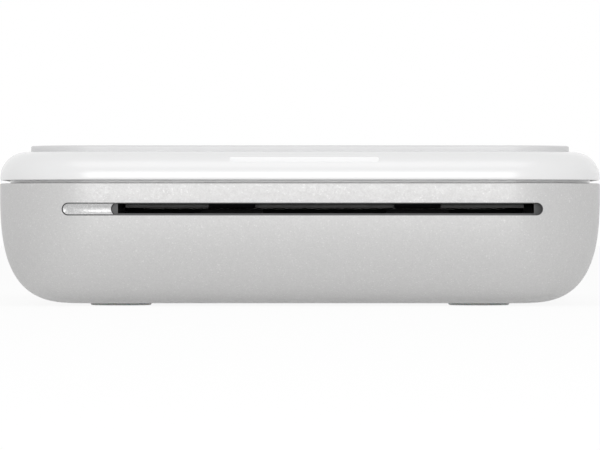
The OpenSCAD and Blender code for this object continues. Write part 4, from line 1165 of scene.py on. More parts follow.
def amber_tape():
    coat = finish("amber_tape", (0.60, 0.42, 0.09), 0.25, Coat_Weight=0.7, Coat_Roughness=0.1)
    bumps = grain(coat, 3 * MM, 2.0)
    coat.vary("Base Color", shades(coat, bumps, (0.46, 0.27, 0.04), (0.68, 0.48, 0.12)))
    emboss(coat, bumps, 0.4 * MM)
    return coat.owner


def dark_foam():
    coat = finish("dark_foam", (0.03, 0.03, 0.032), 0.95)
    cells = coat.node("ShaderNodeTexVoronoi", inputs={"Vector": coat.place, "Scale": 1 / (0.25 * MM)},
                      out="Distance")
    coat.vary("Base Color", shades(coat, cells, (0.014, 0.014, 0.015), (0.05, 0.05, 0.052)))
    emboss(coat, cells, 0.08 * MM)
    return coat.owner


stand_in(pouch(), "battery", foil())
dress(taped_end(), amber_tape(), "chassis")
pad = soft_block("foam_pad", pad_low, pad_high, 7, 0.12 * MM, 3, 60)
stand_in(pad, "battery_pad", dark_foam())

# ---------- leads ----------
# Pairs of thin insulated wires, twisted by hand: one from the motor's cap, one from the battery.
# Each is soldered at one end and crimped in its plug at the other, so its route is fixed.
WIRE_R = 0.23 * MM
TWIST = 9 * MM
PLUG_IN = 1.5 * MM
lead_top = board_high.z + 1.1 * MM
floor_lead_z = base_z + WALL + 1.1 * MM
plug_y = board_low.y + PLUG_IN
motor_plug_x = -21 * MM
battery_plug_x = 16 * MM
gutter_x = cell_low.x - 2.6 * MM


def smooth_line(points):
    """A smooth curve through a route's points, given in the order that the lead runs."""
    steps = 10
    points = [Vector(p) for p in points]
    ends = [2 * points[0] - points[1]] + points + [2 * points[-1] - points[-2]]
    line = []
    for a, b, c, d in zip(ends, ends[1:], ends[2:], ends[3:]):
        for k in range(steps):
            t = k / steps
            bend = (2 * a - 5 * b + 4 * c - d) * t ** 2 + (3 * b - a - 3 * c + d) * t ** 3
            line.append(b + ((c - a) * t + bend) / 2)
    return line + [points[-1]]


def wire(name, line, off, phase):
    """One wire of a pair, as a closed tube that winds round the line at this distance."""
    curve = bpy.data.curves.new(name, "CURVE")
    curve.dimensions = "3D"
    curve.bevel_depth = WIRE_R
    curve.bevel_resolution = 2
    curve.use_fill_caps = True
    spline = curve.splines.new("POLY")
    spline.points.add(len(line) - 1)
    side = Vector((0, 0, 1))
    run = 0
    for i, here in enumerate(line):
        following = line[min(i + 1, len(line) - 1)]
        ahead = (following - line[max(i - 1, 0)]).normalized()
        side = (side - ahead * side.dot(ahead)).normalized()
        turn = phase + 2 * math.pi * run / TWIST
        around = math.cos(turn) * side + math.sin(turn) * ahead.cross(side)
        spline.points[i].co = (*(here + off * around), 1)
        run += (following - here).length
    strand = bpy.data.objects.new(name, curve)
    bpy.context.scene.collection.objects.link(strand)
    alone(strand)
    bpy.ops.object.convert(target="MESH")
    edit(strand)
    select_whole()
    bpy.ops.mesh.remove_doubles(threshold=1e-7)
    bpy.ops.mesh.normals_make_consistent(inside=False)
    leave(strand)
    smooth(strand, 60)
    return strand


motor_x = can_high.x
motor_route = smooth_line([
    (motor_x, can_mid.y, can_mid.z + 1.5 * MM),
    (motor_x + 1.2 * MM, can_mid.y, can_mid.z + 1.5 * MM),
    (motor_x + 1.8 * MM, can_mid.y + 1.5 * MM, can_mid.z + 0.2 * MM),
    (motor_x + MM, can_mid.y + 4 * MM, floor_lead_z + 0.6 * MM),
    (motor_x - 2 * MM, can_mid.y + 6.4 * MM, floor_lead_z),
    (motor_x - 8 * MM, can_mid.y + 7 * MM, floor_lead_z),
    (gutter_x + 0.4 * MM, can_mid.y + 9 * MM, floor_lead_z),
    (gutter_x, can_mid.y + 13 * MM, floor_lead_z),
    (gutter_x, cell_y + 4 * MM, floor_lead_z),
    (gutter_x, board_low.y - 4 * MM, floor_lead_z + 0.2 * MM),
    (gutter_x + 0.6 * MM, board_low.y - 1.6 * MM, floor_lead_z + 2 * MM),
    (gutter_x + 1.2 * MM, board_low.y - 1.2 * MM, lead_top - 0.9 * MM),
    (motor_plug_x, board_low.y + 0.2 * MM, lead_top),
    (motor_plug_x, plug_y, lead_top)])
battery_route = smooth_line([(battery_plug_x, y, z) for y, z in (
    (cell_high.y, cell_high.z - 2.3 * MM),
    (cell_high.y + MM, cell_high.z - 2.3 * MM),
    (cell_high.y + 2.4 * MM, cell_high.z - 1.7 * MM),
    (cell_high.y + 3.4 * MM, lead_top - 0.5 * MM),
    (cell_high.y + 4.6 * MM, lead_top),
    (board_low.y + 0.6 * MM, lead_top),
    (plug_y, lead_top))])
red_vinyl = moulded("red_vinyl", (0.36, 0.020, 0.016), (0.50, 0.034, 0.026), 0.38, deep=0.002 * MM)
black_vinyl = moulded("black_vinyl", (0.012, 0.012, 0.012), (0.024, 0.024, 0.025), 0.38, deep=0.002 * MM)
for node, route, off in (("motor_lead", motor_route, 0.25 * MM), ("battery_lead", battery_route, 0.33 * MM)):
    red_wire = wire(node + "_red", route, off, 0)
    dress(red_wire, red_vinyl, "chassis")
    black_wire = wire(node + "_black", route, off, math.pi)
    dress(black_wire, black_vinyl, "chassis")
    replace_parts(red_wire if node == "motor_lead" else black_wire, node)

# ---------- main board ----------
# Glass-fibre board, 0.8 mm, with a green solder mask, tinned rings round its four screw holes
# and two rows of small chip parts, each with a soldered cap at both ends.
BOARD_HOLE_R = 0.6 * MM
PAD_T = 0.03 * MM


def main_board():
    card = brick("main_board_card", board_low, board_high)
    for x in (-board_hole_x, board_hole_x):
        for y in board_hole_y:
            carve(card, pillar("hole", (x, y, board_low.z - MM), BOARD_HOLE_R, 3 * MM, steps=40))
    return bevelled(card, 0.05 * MM)


def screw_rings():
    ring = turned("ring", (0, 0, 0), [
        (0, BOARD_HOLE_R), (0, 1.5 * MM), (PAD_T, 1.45 * MM), (PAD_T, BOARD_HOLE_R), (0, BOARD_HOLE_R)],
        "Z", 40)
    places = [(sx * board_hole_x, y, board_high.z) for sx in (-1, 1) for y in board_hole_y]
    return copies(ring, places, "screw_rings")


def small_parts(name, spans, high):
    """The same small block at each place in the two rows, along these spans of its length."""
    blocks = [bevelled(brick("part", (x0, -high / 2, 0), (x1, high / 2, high)), 0.04 * MM)
              for x0, x1 in spans]
    front_row = [(x * MM, board_low.y + 1.3 * MM, board_high.z) for x in range(-14, 12, 2)]
    back_row = [(x * MM, board_low.y + 12.3 * MM, board_high.z) for x in range(-9, 18, 2)]
    return copies(joined(blocks, name + "_one"), front_row + back_row, name)


stand_in(main_board(), "main_board", green)
tinned = brushed("tinned", (0.56, 0.56, 0.55), (0.74, 0.74, 0.73), 0.26, (3, 3, 3))
dress(screw_rings(), tinned, "chassis")
tan_ceramic = moulded("tan_ceramic", (0.24, 0.17, 0.10), (0.40, 0.30, 0.19), 0.5)
PART_HALF = 0.3 * MM
END_IN = 0.26 * MM
END_OUT = 0.52 * MM
part_bodies = small_parts("part_bodies", [(-PART_HALF, PART_HALF)], 0.46 * MM)
dress(part_bodies, tan_ceramic, "chassis")
part_ends = small_parts("part_ends", [(-END_OUT, -END_IN), (END_IN, END_OUT)], 0.5 * MM)
dress(part_ends, tinned, "chassis")

# ---------- chips ----------
# Black epoxy bodies with a moulded dimple at pin 1 and bent tinned legs. The last one is a
# ferrite coil without legs. A folded tin-plate can covers the radio.
CHIPS = ((-12, -5, 9, 8, 1.0), (0, -4, 7, 6, 0.9), (12, -3, 4, 4, 0.8))
FERRITE = (19, -1, 4, 4, 2.0)
LEG_OUT = 0.85 * MM
LEG_PITCH = 0.65 * MM
board_mid = (board_low.y + board_high.y) / 2


def chip_body(chip, stand=0.1 * MM, soft=0.09 * MM):
    x, y, w, d, h = chip
    inset = LEG_OUT * 0.8 if stand else 0
    low = Vector((x * MM + inset, board_mid + y * MM + inset, board_high.z + stand))
    high = Vector(((x + w) * MM - inset, board_mid + (y + d) * MM - inset, board_high.z + h * MM))
    body = bevelled(brick("chip_body", low, high), soft)
    mark = (low.x + 0.6 * MM, low.y + 0.6 * MM, high.z - 0.05 * MM)
    carve(body, pillar("dimple", mark, 0.22 * MM, MM, steps=24))
    return body


def leg():
    """One bent leg that points along +Y, with its tip at the origin."""
    strip = brick("leg", (-0.13 * MM, -0.32 * MM, 0), (0.13 * MM, 0, 0.11 * MM))
    edit(strip)
    pick(strip, lambda f: f.normal.y < -0.9)
    bpy.ops.mesh.extrude_region_move(TRANSFORM_OT_translate={"value": (0, -0.16 * MM, 0.3 * MM)})
    bpy.ops.mesh.extrude_region_move(TRANSFORM_OT_translate={"value": (0, -0.4 * MM, 0)})
    return leave(strip)


def leg_places(chip):
    """A matrix for each leg, along all four sides."""
    x, y, w, d, _ = chip
    centre = Vector(((x + w / 2) * MM, board_mid + (y + d / 2) * MM, board_high.z))
    places = []
    for quarter_turn, along, out in ((0, w, d), (1, d, w), (2, w, d), (3, d, w)):
        count = int((along * MM - 2.4 * MM) / LEG_PITCH) + 1
        turn = Matrix.Rotation(quarter_turn * math.pi / 2, 4, "Z")
        for i in range(count):
            step = Vector(((i - (count - 1) / 2) * LEG_PITCH, out * MM / 2, 0))
            places.append(Matrix.Translation(centre) @ turn @ Matrix.Translation(step))
    return places


epoxy = moulded("epoxy", (0.016, 0.016, 0.017), (0.030, 0.030, 0.032), 0.55, 0.05 * MM)
stand_in(joined([chip_body(c) for c in CHIPS], "chip_bodies"), "board_chips", epoxy)
legs = copies(leg(), [place for c in CHIPS for place in leg_places(c)], "chip_legs")
dress(legs, tinned, "chassis")
ferrite = moulded("ferrite", (0.045, 0.043, 0.042), (0.080, 0.078, 0.075), 0.62, 0.1 * MM)
dress(chip_body(FERRITE, 0, 0.4 * MM), ferrite, "chassis")


def radio_can():
    low = Vector((-25 * MM, board_low.y + 4.5 * MM, board_high.z))
    can = brick("radio_can", low, low + Vector((10 * MM, 8.5 * MM, 1.8 * MM)))
    edit(can)
    pick(can, lambda f: f.normal.z > 0.9)
    bpy.ops.mesh.inset(thickness=0.7 * MM)
    bpy.ops.mesh.inset(thickness=0.12 * MM, depth=-0.1 * MM)
    leave(can)
    return bevelled(can, 0.1 * MM)


dress(radio_can(), sheet_steel, "chassis")

# ---------- connectors ----------
# Two crimp plug headers in natural nylon for the leads, and a flip-lock socket for the flat cable.


def header(x):
    """A header whose cavity opens to the front, with the plug pushed home in it."""
    low = Vector((x - 3 * MM, plug_y, board_high.z))
    shell = brick("header", low, (x + 3 * MM, plug_y + 2.5 * MM, board_high.z + 2.2 * MM))
    edit(shell)
    pick(shell, lambda f: f.normal.y < -0.9)
    bpy.ops.mesh.inset(thickness=0.3 * MM)
    bpy.ops.mesh.inset(thickness=0.001 * MM, depth=-1.8 * MM)
    leave(shell)
    bevelled(shell, 0.06 * MM)
    plug = bevelled(brick("plug", (x - 2.3 * MM, plug_y, low.z + 0.42 * MM),
                          (x + 2.3 * MM, plug_y + 1.7 * MM, low.z + 1.78 * MM)), 0.08 * MM)
    return [shell, plug]


def flex_socket():
    x0, x1 = board_high.x - 6 * MM, board_high.x
    y0, z = board_low.y + 3.4 * MM, board_high.z
    seat = bevelled(brick("flex_seat", (x0, y0, z), (x1, y0 + 1.5 * MM, z + 1.2 * MM)), 0.08 * MM)
    ears = bevelled(brick("flex_ears", (x0, y0 + 1.4 * MM, z), (x1, y0 + 2.4 * MM, z + 0.45 * MM)), 0.08 * MM)
    return [seat, ears]


headers = joined(header(motor_plug_x) + header(battery_plug_x) + flex_socket(), "headers")
stand_in(headers, "board_connectors", gear_plastic)
flip_lock = bevelled(
    brick("flip_lock", (board_high.x - 5.6 * MM, board_low.y + 4.85 * MM, board_high.z + 0.5 * MM),
          (board_high.x - 0.4 * MM, board_low.y + 5.75 * MM, board_high.z + 1.15 * MM)), 0.1 * MM)
dress(flip_lock, black_plastic, "chassis")

# ---------- power socket ----------
# A drawn and plated shell with a black tongue, which carries a row of gilt contacts on each face.
USB_WALL = 0.3 * MM


def socket_shell():
    h = usb_high.z - usb_low.z
    shell = stadium("socket_shell", usb_low.x, usb_high.x, usb_z, h, usb_low.y, usb_high.y, 16)
    carve(shell, stadium("socket_room", usb_low.x + USB_WALL, usb_high.x - USB_WALL, usb_z, h - 2 * USB_WALL,
                         usb_low.y + 0.5 * MM, usb_high.y + MM, 16))
    return bevelled(shell, 0.06 * MM)


def tongue():
    low = (usb_x - 2.2 * MM, usb_low.y + 0.4 * MM, usb_z - 0.3 * MM)
    high = (usb_x + 2.2 * MM, usb_high.y - 0.6 * MM, usb_z + 0.3 * MM)
    return bevelled(brick("tongue", low, high), 0.08 * MM)


def contacts():
    near, far = usb_high.y - 3 * MM, usb_high.y - 0.9 * MM
    strip = bevelled(brick("contact", (-0.11 * MM, near, -0.33 * MM), (0.11 * MM, far, 0.33 * MM)), 0.02 * MM)
    return copies(strip, [(usb_x + i * 0.5 * MM, 0, usb_z) for i in range(-3, 4)], "contacts")


stand_in(socket_shell(), "usb_port", can_steel)
dress(tongue(), black_plastic, "chassis")
gilt = brushed("gilt", (0.66, 0.46, 0.16), (0.86, 0.66, 0.30), 0.2, (3, 3, 3))
dress(contacts(), gilt, "chassis")

# ---------- keys and charge light ----------
# The power key is a dished disc, sprayed with the base, on a stem that meets a switch. The reset
# key is a pin behind a pinhole. The charge light is a clear acrylic rod over its lamp.
KEY_R = 2.2 * MM
KEY_DISH = 0.18 * MM
ROD_R = 0.75 * MM
key_back = key_low.y + 0.5 * MM
key_step = key_back + 0.65 * MM


def round_key():
    edge = 0.25 * MM
    out = key_high.y
    line = [(key_low.y, 0), (key_low.y, 0.6 * MM), (key_low.y + 0.1 * MM, 0.7 * MM), (key_back, 0.7 * MM),
            (key_back, KEY_R + 0.6 * MM), (key_step, KEY_R + 0.6 * MM), (key_step, KEY_R)]
    line += [(out - edge + edge * math.sin(a), KEY_R - edge + edge * math.cos(a))
             for a in (math.pi / 12 * i for i in range(7))]
    line += [(out - KEY_DISH * math.sin(math.pi / 2 * i / 8), (KEY_R - edge) * (1 - i / 8))
             for i in range(1, 9)]
    return turned("round_key", (key_x, 0, control_z), line, "Y", 64)


def press_switch(name, low, high, press_r):
    """A press switch: a moulded box under a folded plate, with a short plunger."""
    box = bevelled(brick(name, low, high), 0.12 * MM)
    edit(box)
    pick(box, lambda f: f.normal.y > 0.9)
    bpy.ops.mesh.inset(thickness=0.25 * MM)
    bpy.ops.mesh.inset(thickness=0.08 * MM, depth=-0.06 * MM)
    leave(box)
    if press_r:
        x, z = (low.x + high.x) / 2, control_z
        carve(box, pillar("bore", (x, high.y - 0.8 * MM, z), press_r, 2 * MM, "Y", 40))
    return box


def rod_light():
    """The rod, with a chamfered front end, and the block that stands over the lamp."""
    rod_y = board_high.y - 1.5 * MM
    rod_piece = turned("charge_rod", (light_x, 0, control_z), [
        (rod_y, 0), (rod_y, ROD_R), (light_high.y - 0.12 * MM, ROD_R), (light_high.y, ROD_R - 0.12 * MM),
        (light_high.y, 0)], "Y", 48)
    block = brick("charge_foot", (light_x - 0.9 * MM, light_low.y, light_low.z),
                  (light_x + 0.9 * MM, rod_y + 0.05 * MM, control_z + ROD_R))
    carve(rod_piece, bevelled(block, 0.12 * MM), "UNION")
    smooth(rod_piece, 35)
    return rod_piece


def clear_acrylic():
    coat = finish("clear_acrylic", (0.93, 0.95, 0.95), 0.06, Transmission_Weight=0.85, IOR=1.49)
    haze = grain(coat, 0.8 * MM, 3.0)
    coat.vary("Roughness", 0.05 + haze * 0.12)
    emboss(coat, haze, 0.01 * MM)
    return coat.owner


stand_in(round_key(), "power_button", silver)
for node in ("power_switch", "reset_switch"):
    low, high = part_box(node)
    piece = press_switch(node + "_box", low, high, 0.7 * MM if node == "reset_switch" else 0)
    stand_in(piece, node, black_plastic)
PIN_TIP = 0.2 * MM
RESET_R = 0.6 * MM
pin = turned("reset_pin", (reset_x, 0, control_z), [
    (reset_low.y, 0), (reset_low.y, RESET_R - PIN_TIP), (reset_low.y + PIN_TIP, RESET_R),
    (reset_high.y - PIN_TIP, RESET_R), (reset_high.y, RESET_R - PIN_TIP), (reset_high.y, 0)], "Y", 40)
stand_in(pin, "reset_plunger", gear_plastic)
stand_in(rod_light(), "charge_light", clear_acrylic())

# ---------- paper flag ----------
# A small black lever whose tip stands in the tray until a sheet pushes it down, and the forked
# light gate that its tail cuts.
swap("paper_flag", black_plastic, 0.08 * MM)
swap("paper_sensor", black_plastic, 0.1 * MM)

# ---------- frame ----------
# The dark deck that closes the bowl: paper tray, print head's lid, rim and hinge posts in one
# moulding. Glide ribs along the tray's floor keep the stack from sticking to it.
TRAY_FLOOR = path_z - 0.94 * MM
RIB_H = 0.22 * MM
RIB_W = 0.8 * MM
frame_plastic = moulded("frame_plastic", (0.020, 0.020, 0.022), (0.040, 0.040, 0.043), 0.48)
swap("mid_frame", frame_plastic, 0.12 * MM)


def glide_rib(x, y0, y1):
    """One rib, with round ends and rounded top edges."""
    rib = stadium("rib", -RIB_W / 2, RIB_W / 2, 0, RIB_W, y0, y1, steps=6)
    rib.data.transform(Matrix.Translation((x, 0, TRAY_FLOOR + RIB_H - RIB_W / 2)))
    carve(rib, brick("floor", (x - MM, y0 - MM, TRAY_FLOOR - 2 * MM), (x + MM, y1 + MM, TRAY_FLOOR)))
    return rib


ribs = joined([glide_rib(PAPER_X + x * MM, -18 * MM, 33 * MM) for x in (-20, -4, 4, 20)], "tray_ribs")
smooth(ribs, 40)
dress(ribs, frame_plastic, "chassis")

# ---------- screws ----------
# Small pan head screws in zinc-plated steel, with a rolled thread and a cross recess. They cut
# their own thread in the bosses. The motor's two have flatter heads.
THREAD = 0.42 * MM
SCREW_R = 0.48 * MM


def screw(name, head_r, head_t, length):
    """A screw that points down from the origin, where the top of its head is."""
    line = [(0, 0), (0, head_r * 0.55), (-head_t * 0.12, head_r * 0.85), (-head_t * 0.45, head_r),
            (-head_t, head_r), (-head_t, SCREW_R)]
    top = -head_t - 0.15 * MM
    root = SCREW_R * 0.76
    for i in range(int((length - 0.8 * MM) / THREAD)):
        z = top - i * THREAD
        line += [(z, root), (z - 0.4 * THREAD, SCREW_R), (z - 0.55 * THREAD, SCREW_R)]
    line += [(-head_t - length + 0.4 * MM, root), (-head_t - length, 0.05 * MM), (-head_t - length, 0)]
    body = turned(name, (0, 0, 0), line, "Z", 24)
    for turn in (0, math.pi / 2):
        blade = brick("recess", (-head_r * 0.6, -0.15 * MM, -head_t * 0.7), (head_r * 0.6, 0.15 * MM, MM))
        blade.data.transform(Matrix.Rotation(turn, 4, "Z"))
        carve(body, blade)
    smooth(body, 35)
    return body


zinc = brushed("zinc", (0.46, 0.47, 0.49), (0.66, 0.67, 0.69), 0.26, (4, 4, 4))
HEAD_R = 1.1 * MM
HEAD_T = 0.5 * MM
MOTOR_SCREW_UP = 2.9 * MM
CAP_SCREW_X = 24 * MM
cap_screw_y = hinge_y + 6.15 * MM
motor_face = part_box("motor_screws")[0].x
motor_turn = Matrix.Rotation(-math.pi / 2, 4, "Y")
cap_turn = Matrix.Rotation(math.pi, 4, "X")
deck_places = [(x, y, base_top) for x, y, top in boss_places() if top == DECK_Z]
card_places = [(x, y, board_high.z + HEAD_T) for x, y, top in boss_places() if top == board_low.z]
motor_places = [Matrix.Translation((motor_face, can_mid.y, can_mid.z + s * MOTOR_SCREW_UP)) @ motor_turn
                for s in (-1, 1)]
cap_places = [Matrix.Translation((s * CAP_SCREW_X, cap_screw_y, DECK_Z - HEAD_T)) @ cap_turn
              for s in (-1, 1)]
for node, head_r, head_t, length, places in (
        ("frame_screws", HEAD_R, HEAD_T, 4.5 * MM, deck_places),
        ("board_screws", HEAD_R, HEAD_T, 3.5 * MM, card_places),
        ("motor_screws", 0.9 * MM, 0.4 * MM, 2.2 * MM, motor_places),
        ("cap_screws", HEAD_R, HEAD_T, 3 * MM, cap_places)):
    group = copies(screw("screw", head_r, head_t, length), places, node + "_turned")
    stand_in(group, node, zinc)

# ---------- keepers, magnets and hinge pins ----------
# Two nickel-plated magnets glued in the cover meet steel keepers on the base, and hold it shut.
# The cover turns on two ground steel pins in the frame's posts.
HINGE_X = 30 * MM
PIN_HALF = 5 * MM
PIN_EDGE = 0.12 * MM
pin_r = (pin_high.z - pin_low.z) / 2


def disc(name, node):
    """A pair of discs, one on each side, each with a chamfered edge."""
    low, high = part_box(node)
    r = (high.y - low.y) / 2
    c = 0.15 * MM
    puck = turned("puck", (0, 0, 0), [
        (low.z, 0), (low.z, r - c), (low.z + c, r), (high.z - c, r), (high.z, r - c), (high.z, 0)], "Z")
    return copies(puck, [(s * (high.x - r), (low.y + high.y) / 2, 0) for s in (-1, 1)], name)


stand_in(disc("keepers", "magnet_keepers"), "magnet_keepers", shaft_steel)
nickel = brushed("nickel", (0.60, 0.58, 0.54), (0.76, 0.74, 0.70), 0.14, (2, 2, 2))
stand_in(disc("magnets", "cover_magnets"), "cover_magnets", nickel)
pin_line = [(-PIN_HALF, 0), (-PIN_HALF, pin_r - PIN_EDGE), (PIN_EDGE - PIN_HALF, pin_r),
            (PIN_HALF - PIN_EDGE, pin_r), (PIN_HALF, pin_r - PIN_EDGE), (PIN_HALF, 0)]
pins = joined([turned("hinge_pin", (s * HINGE_X, hinge_y, hinge_z), pin_line, "X", 32) for s in (-1, 1)],
              "hinge_pins_ground")
stand_in(pins, "hinge_pins", shaft_steel)

# ---------- cover ----------
# The white lid, moulded in glossy ABS. A quarter round runs along its top edge, a thumb scoop
# is cut in the front, and its rear edge is a barrel that turns on two steel pins.
SEAM = 0.4 * MM
COVER_EDGE_R = 3.4 * MM
COVER_TOP = 1.25 * MM
cover_z = base_top + SEAM
cover_top_z = panel_low.z
ceiling_z = cover_top_z - COVER_TOP
barrel_r = (cover_top_z - cover_z) / 2
BARREL_SOLID = 3 * MM
POST_R = 1.2 * MM
POST_W = 4 * MM
POST_GAP = 0.15 * MM
PIN_BORE_R = 0.65 * MM
PIN_BORE = 5.2 * MM
LIP_IN = 1.3 * MM
LIP_T = 0.6 * MM
LIP_LOW = base_top + 0.05 * MM
LIP_HIGH = LIP_LOW + 1.05 * MM
HINGE_CLEAR = 3.5 * MM
SCOOP_L = -9.1 * MM
SCOOP_R = 10.2 * MM
SCOOP_H = 0.85 * MM
SCOOP_DEEP = 1.25 * MM
FAR = 90 * MM


def gloss_white():
    coat = finish("gloss_white", (0.81, 0.81, 0.815), 0.30, Coat_Weight=0.9, Coat_Roughness=0.2)
    cloud = grain(coat, 18 * MM, 2.0)
    coat.vary("Base Color", shades(coat, cloud, (0.800, 0.800, 0.803), (0.835, 0.835, 0.838)))
    coat.vary("Roughness", 0.26 + grain(coat, 2 * MM, 3.0) * 0.08)
    emboss(coat, grain(coat, 1.6 * MM), 0.002 * MM)
    return coat.owner


def lid_skin(name):
    """Outside of the cover and the rear cap in one: they are cut from the same form."""
    edge = [(cover_z + 0.15 * MM, 0), (cover_z + 0.05 * MM, 0.04 * MM), (cover_z, 0.13 * MM)]
    start = cover_top_z - COVER_EDGE_R
    return rounded_solid(name, start, 0, quarter(start, 0, COVER_EDGE_R, 22), edge)


def lid_hollow(name):
    r = COVER_EDGE_R - COVER_TOP
    return rounded_solid(name, ceiling_z - r, WALL, quarter(ceiling_z - r, WALL, r, 12),
                         [(base_top - 2 * MM, WALL)])


def lip_ring(name):
    """The ring inside the wall that reaches down to the base's rim."""
    ring = rounded_solid(name, LIP_LOW, LIP_IN, [(LIP_HIGH, LIP_IN)], [(LIP_LOW - 0.001 * MM, LIP_IN)])
    inner = LIP_IN + LIP_T
    room = rounded_solid("lip_inside", LIP_LOW, inner, [(LIP_HIGH + MM, inner)], [(LIP_LOW - MM, inner)])
    carve(ring, room)
    return ring


def cover_shell():
    shell = lid_skin("cover_shell")
    behind = brick("behind", (-FAR, hinge_y, 0), (FAR, FAR, FAR))
    carve(behind, pillar("barrel", (-FAR, hinge_y, hinge_z), barrel_r, 2 * FAR, "X", 96))
    carve(shell, behind)
    hollow = lid_hollow("hollow")
    carve(hollow, brick("barrel_wall", (-FAR, hinge_y - BARREL_SOLID, 0), (FAR, FAR, FAR)))
    carve(shell, hollow)
    lip = lip_ring("lip")
    carve(lip, brick("lip_end", (-FAR, hinge_y - HINGE_CLEAR, 0), (FAR, FAR, FAR)))
    carve(shell, lip, "UNION")
    half = POST_W / 2 + POST_GAP
    r = POST_R + POST_GAP
    for side in (-1, 1):
        x0 = side * HINGE_X - half
        x1 = side * HINGE_X + half
        carve(shell, pillar("post_room", (x0, hinge_y, hinge_z), r, x1 - x0, "X"))
        carve(shell, brick("post_way", (x0, hinge_y - r, hinge_z - 3 * MM), (x1, hinge_y, hinge_z)))
        carve(shell, brick("post_swing", (x0, hinge_y - 0.01 * MM, hinge_z - 3 * MM),
                           (x1, hinge_y + 3 * MM, hinge_z + r)))
        bore_end = (side * HINGE_X - PIN_BORE, hinge_y, hinge_z)
        carve(shell, pillar("pin_bore", bore_end, PIN_BORE_R, 2 * PIN_BORE, "X"))
    scoop_z = cover_top_z - MM
    carve(shell, stadium("scoop", SCOOP_L, SCOOP_R, scoop_z, SCOOP_H, front_y - MM, front_y + SCOOP_DEEP))
    return shell


cover = cover_shell()
smooth(cover)
white_plastic = gloss_white()
stand_in(cover, "top_cover", white_plastic)

# ---------- rear cap ----------
# A fixed strip behind the hinge that carries the cover's outline round to the back.
# Two screws hold it from below.
CAP_GAP = 0.3 * MM
CAP_WALL = 1.2 * MM
cap_y = hinge_y + barrel_r + CAP_GAP


def cap_shell():
    shell = lid_skin("rear_cap_shell")
    carve(shell, brick("front", (-FAR, -FAR, 0), (FAR, cap_y, FAR)))
    hollow = lid_hollow("cap_hollow")
    carve(hollow, brick("cap_wall", (-FAR, -FAR, 0), (FAR, cap_y + CAP_WALL, FAR)))
    carve(shell, hollow)
    lip = lip_ring("cap_lip")
    carve(lip, brick("cap_lip_end", (-FAR, -FAR, 0), (FAR, cap_y, FAR)))
    carve(shell, lip, "UNION")
    half = body_w / 2 - 6 * MM
    wall = brick("cap_foot", (-half, cap_y, base_top), (half, cap_y + CAP_WALL, cover_top_z - 2 * MM))
    carve(shell, wall, "UNION")
    tall = ceiling_z - base_top + 0.1 * MM
    bosses = [pillar("cap_boss", (sx * CAP_SCREW_X, cap_screw_y, base_top), 1.6 * MM, tall)
              for sx in (-1, 1)]
    carve(shell, joined(bosses, "cap_bosses"), "UNION")
    pilots = [pillar("pilot", (sx * CAP_SCREW_X, cap_screw_y, base_top - MM), PILOT_R, 3 * MM, steps=24)
              for sx in (-1, 1)]
    carve(shell, joined(pilots, "pilots"))
    return shell


cap = cap_shell()
smooth(cap)
stand_in(cap, "rear_cap", white_plastic)

# ---------- raised panel ----------
# A satin grey sheet, 0.8 mm thick, stuck on the cover. Its corners are round and its top edge
# is broken by hand.
PANEL_R = 8 * MM
PANEL_EDGE = 0.2 * MM


def satin_grey():
    coat = finish("satin_grey", (0.69, 0.69, 0.695), 0.38, Coat_Weight=0.25, Coat_Roughness=0.25)
    fine = grain(coat, 0.07 * MM, 2.0)
    cloud = grain(coat, 14 * MM, 3.0)
    coat.vary("Base Color", shades(coat, cloud, (0.665, 0.665, 0.67), (0.715, 0.715, 0.72)))
    coat.vary("Roughness", 0.34 + fine * 0.08)
    emboss(coat, fine, 0.003 * MM)
    return coat.owner


panel_edge_z = panel_high.z - PANEL_EDGE
panel = rounded_solid(
    "raised_panel", panel_edge_z, 0, quarter(panel_edge_z, 0, PANEL_EDGE, 4), [(panel_low.z, 0)],
    w=panel_high.x - panel_low.x, d=panel_high.y - panel_low.y, r=PANEL_R,
    y=(panel_high.y + panel_low.y) / 2, steps=24)
smooth(panel)
stand_in(panel, "cover_panel", satin_grey())

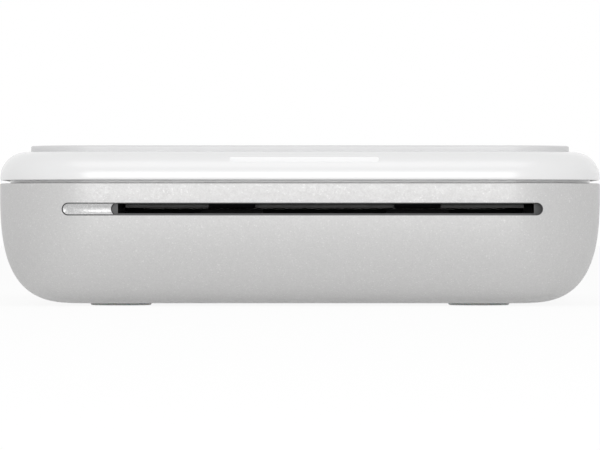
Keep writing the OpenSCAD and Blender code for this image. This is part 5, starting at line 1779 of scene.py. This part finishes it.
# ---------- pressure plate ----------
# A folded steel plate in the cover that presses the stack on the pick tyres. It hangs in four
# white clips, and four coil springs push it down. Two thin cork strips grip the top sheet.
plate_low, plate_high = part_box("presser_plate")
ps_low, ps_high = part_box("presser_springs")
BEAD_W = 2.6 * MM
BEAD_DEEP = 0.2 * MM
CORK_T = 0.1 * MM
SPRING_WIRE = 0.2 * MM
SPRING_X = 14 * MM
SPRING_Y = 22 * MM


def pressed_plate():
    """The folded plate, with three stiffening beads pressed into its underside."""
    plate = softened("presser_plate", 0.12 * MM, "pressed_plate")
    for x in (-13, 0, 13):
        mid = PAPER_X + x * MM
        carve(plate, stadium("bead", mid - BEAD_W / 2, mid + BEAD_W / 2, plate_low.z + BEAD_DEEP - MM / 2, MM,
                             plate_low.y + 9 * MM, plate_high.y - 9 * MM, 8))
    smooth(plate, 35)
    modify(plate, "WEIGHTED_NORMAL", keep_sharp=True)
    return plate


def cork_strips():
    strip = brick("cork", (-2 * MM, plate_low.y + 8 * MM, plate_low.z - CORK_T),
                  (2 * MM, plate_high.y - 8 * MM, plate_low.z))
    return copies(bevelled(strip, 0.05 * MM), [(PAPER_X + s * 19 * MM, 0, 0) for s in (-1, 1)], "cork_strips")


def cork():
    coat = finish("cork", (0.40, 0.27, 0.15), 0.85)
    cells = flakes(coat, 0.7 * MM)
    coat.vary("Base Color", shades(coat, cells, (0.26, 0.155, 0.075), (0.50, 0.345, 0.20)))
    emboss(coat, cells, 0.03 * MM)
    return coat.owner


stand_in(pressed_plate(), "presser_plate", sheet_steel)
dress(cork_strips(), cork(), "presser")
swap("presser_rails", white_plastic, 0.1 * MM)
ring_r = ps_high.x - PAPER_X - SPRING_X - SPRING_WIRE
spring_mid = (ps_low.y + ps_high.y) / 2
springs = joined([
    coil("press_coil", (PAPER_X + sx * SPRING_X, spring_mid + sy * SPRING_Y, ps_low.z), ring_r,
         SPRING_WIRE, ps_high.z - ps_low.z, 4) for sx in (-1, 1) for sy in (-1, 1)], "press_coils")
stand_in(springs, "presser_springs", spring_wire)
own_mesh(springs)
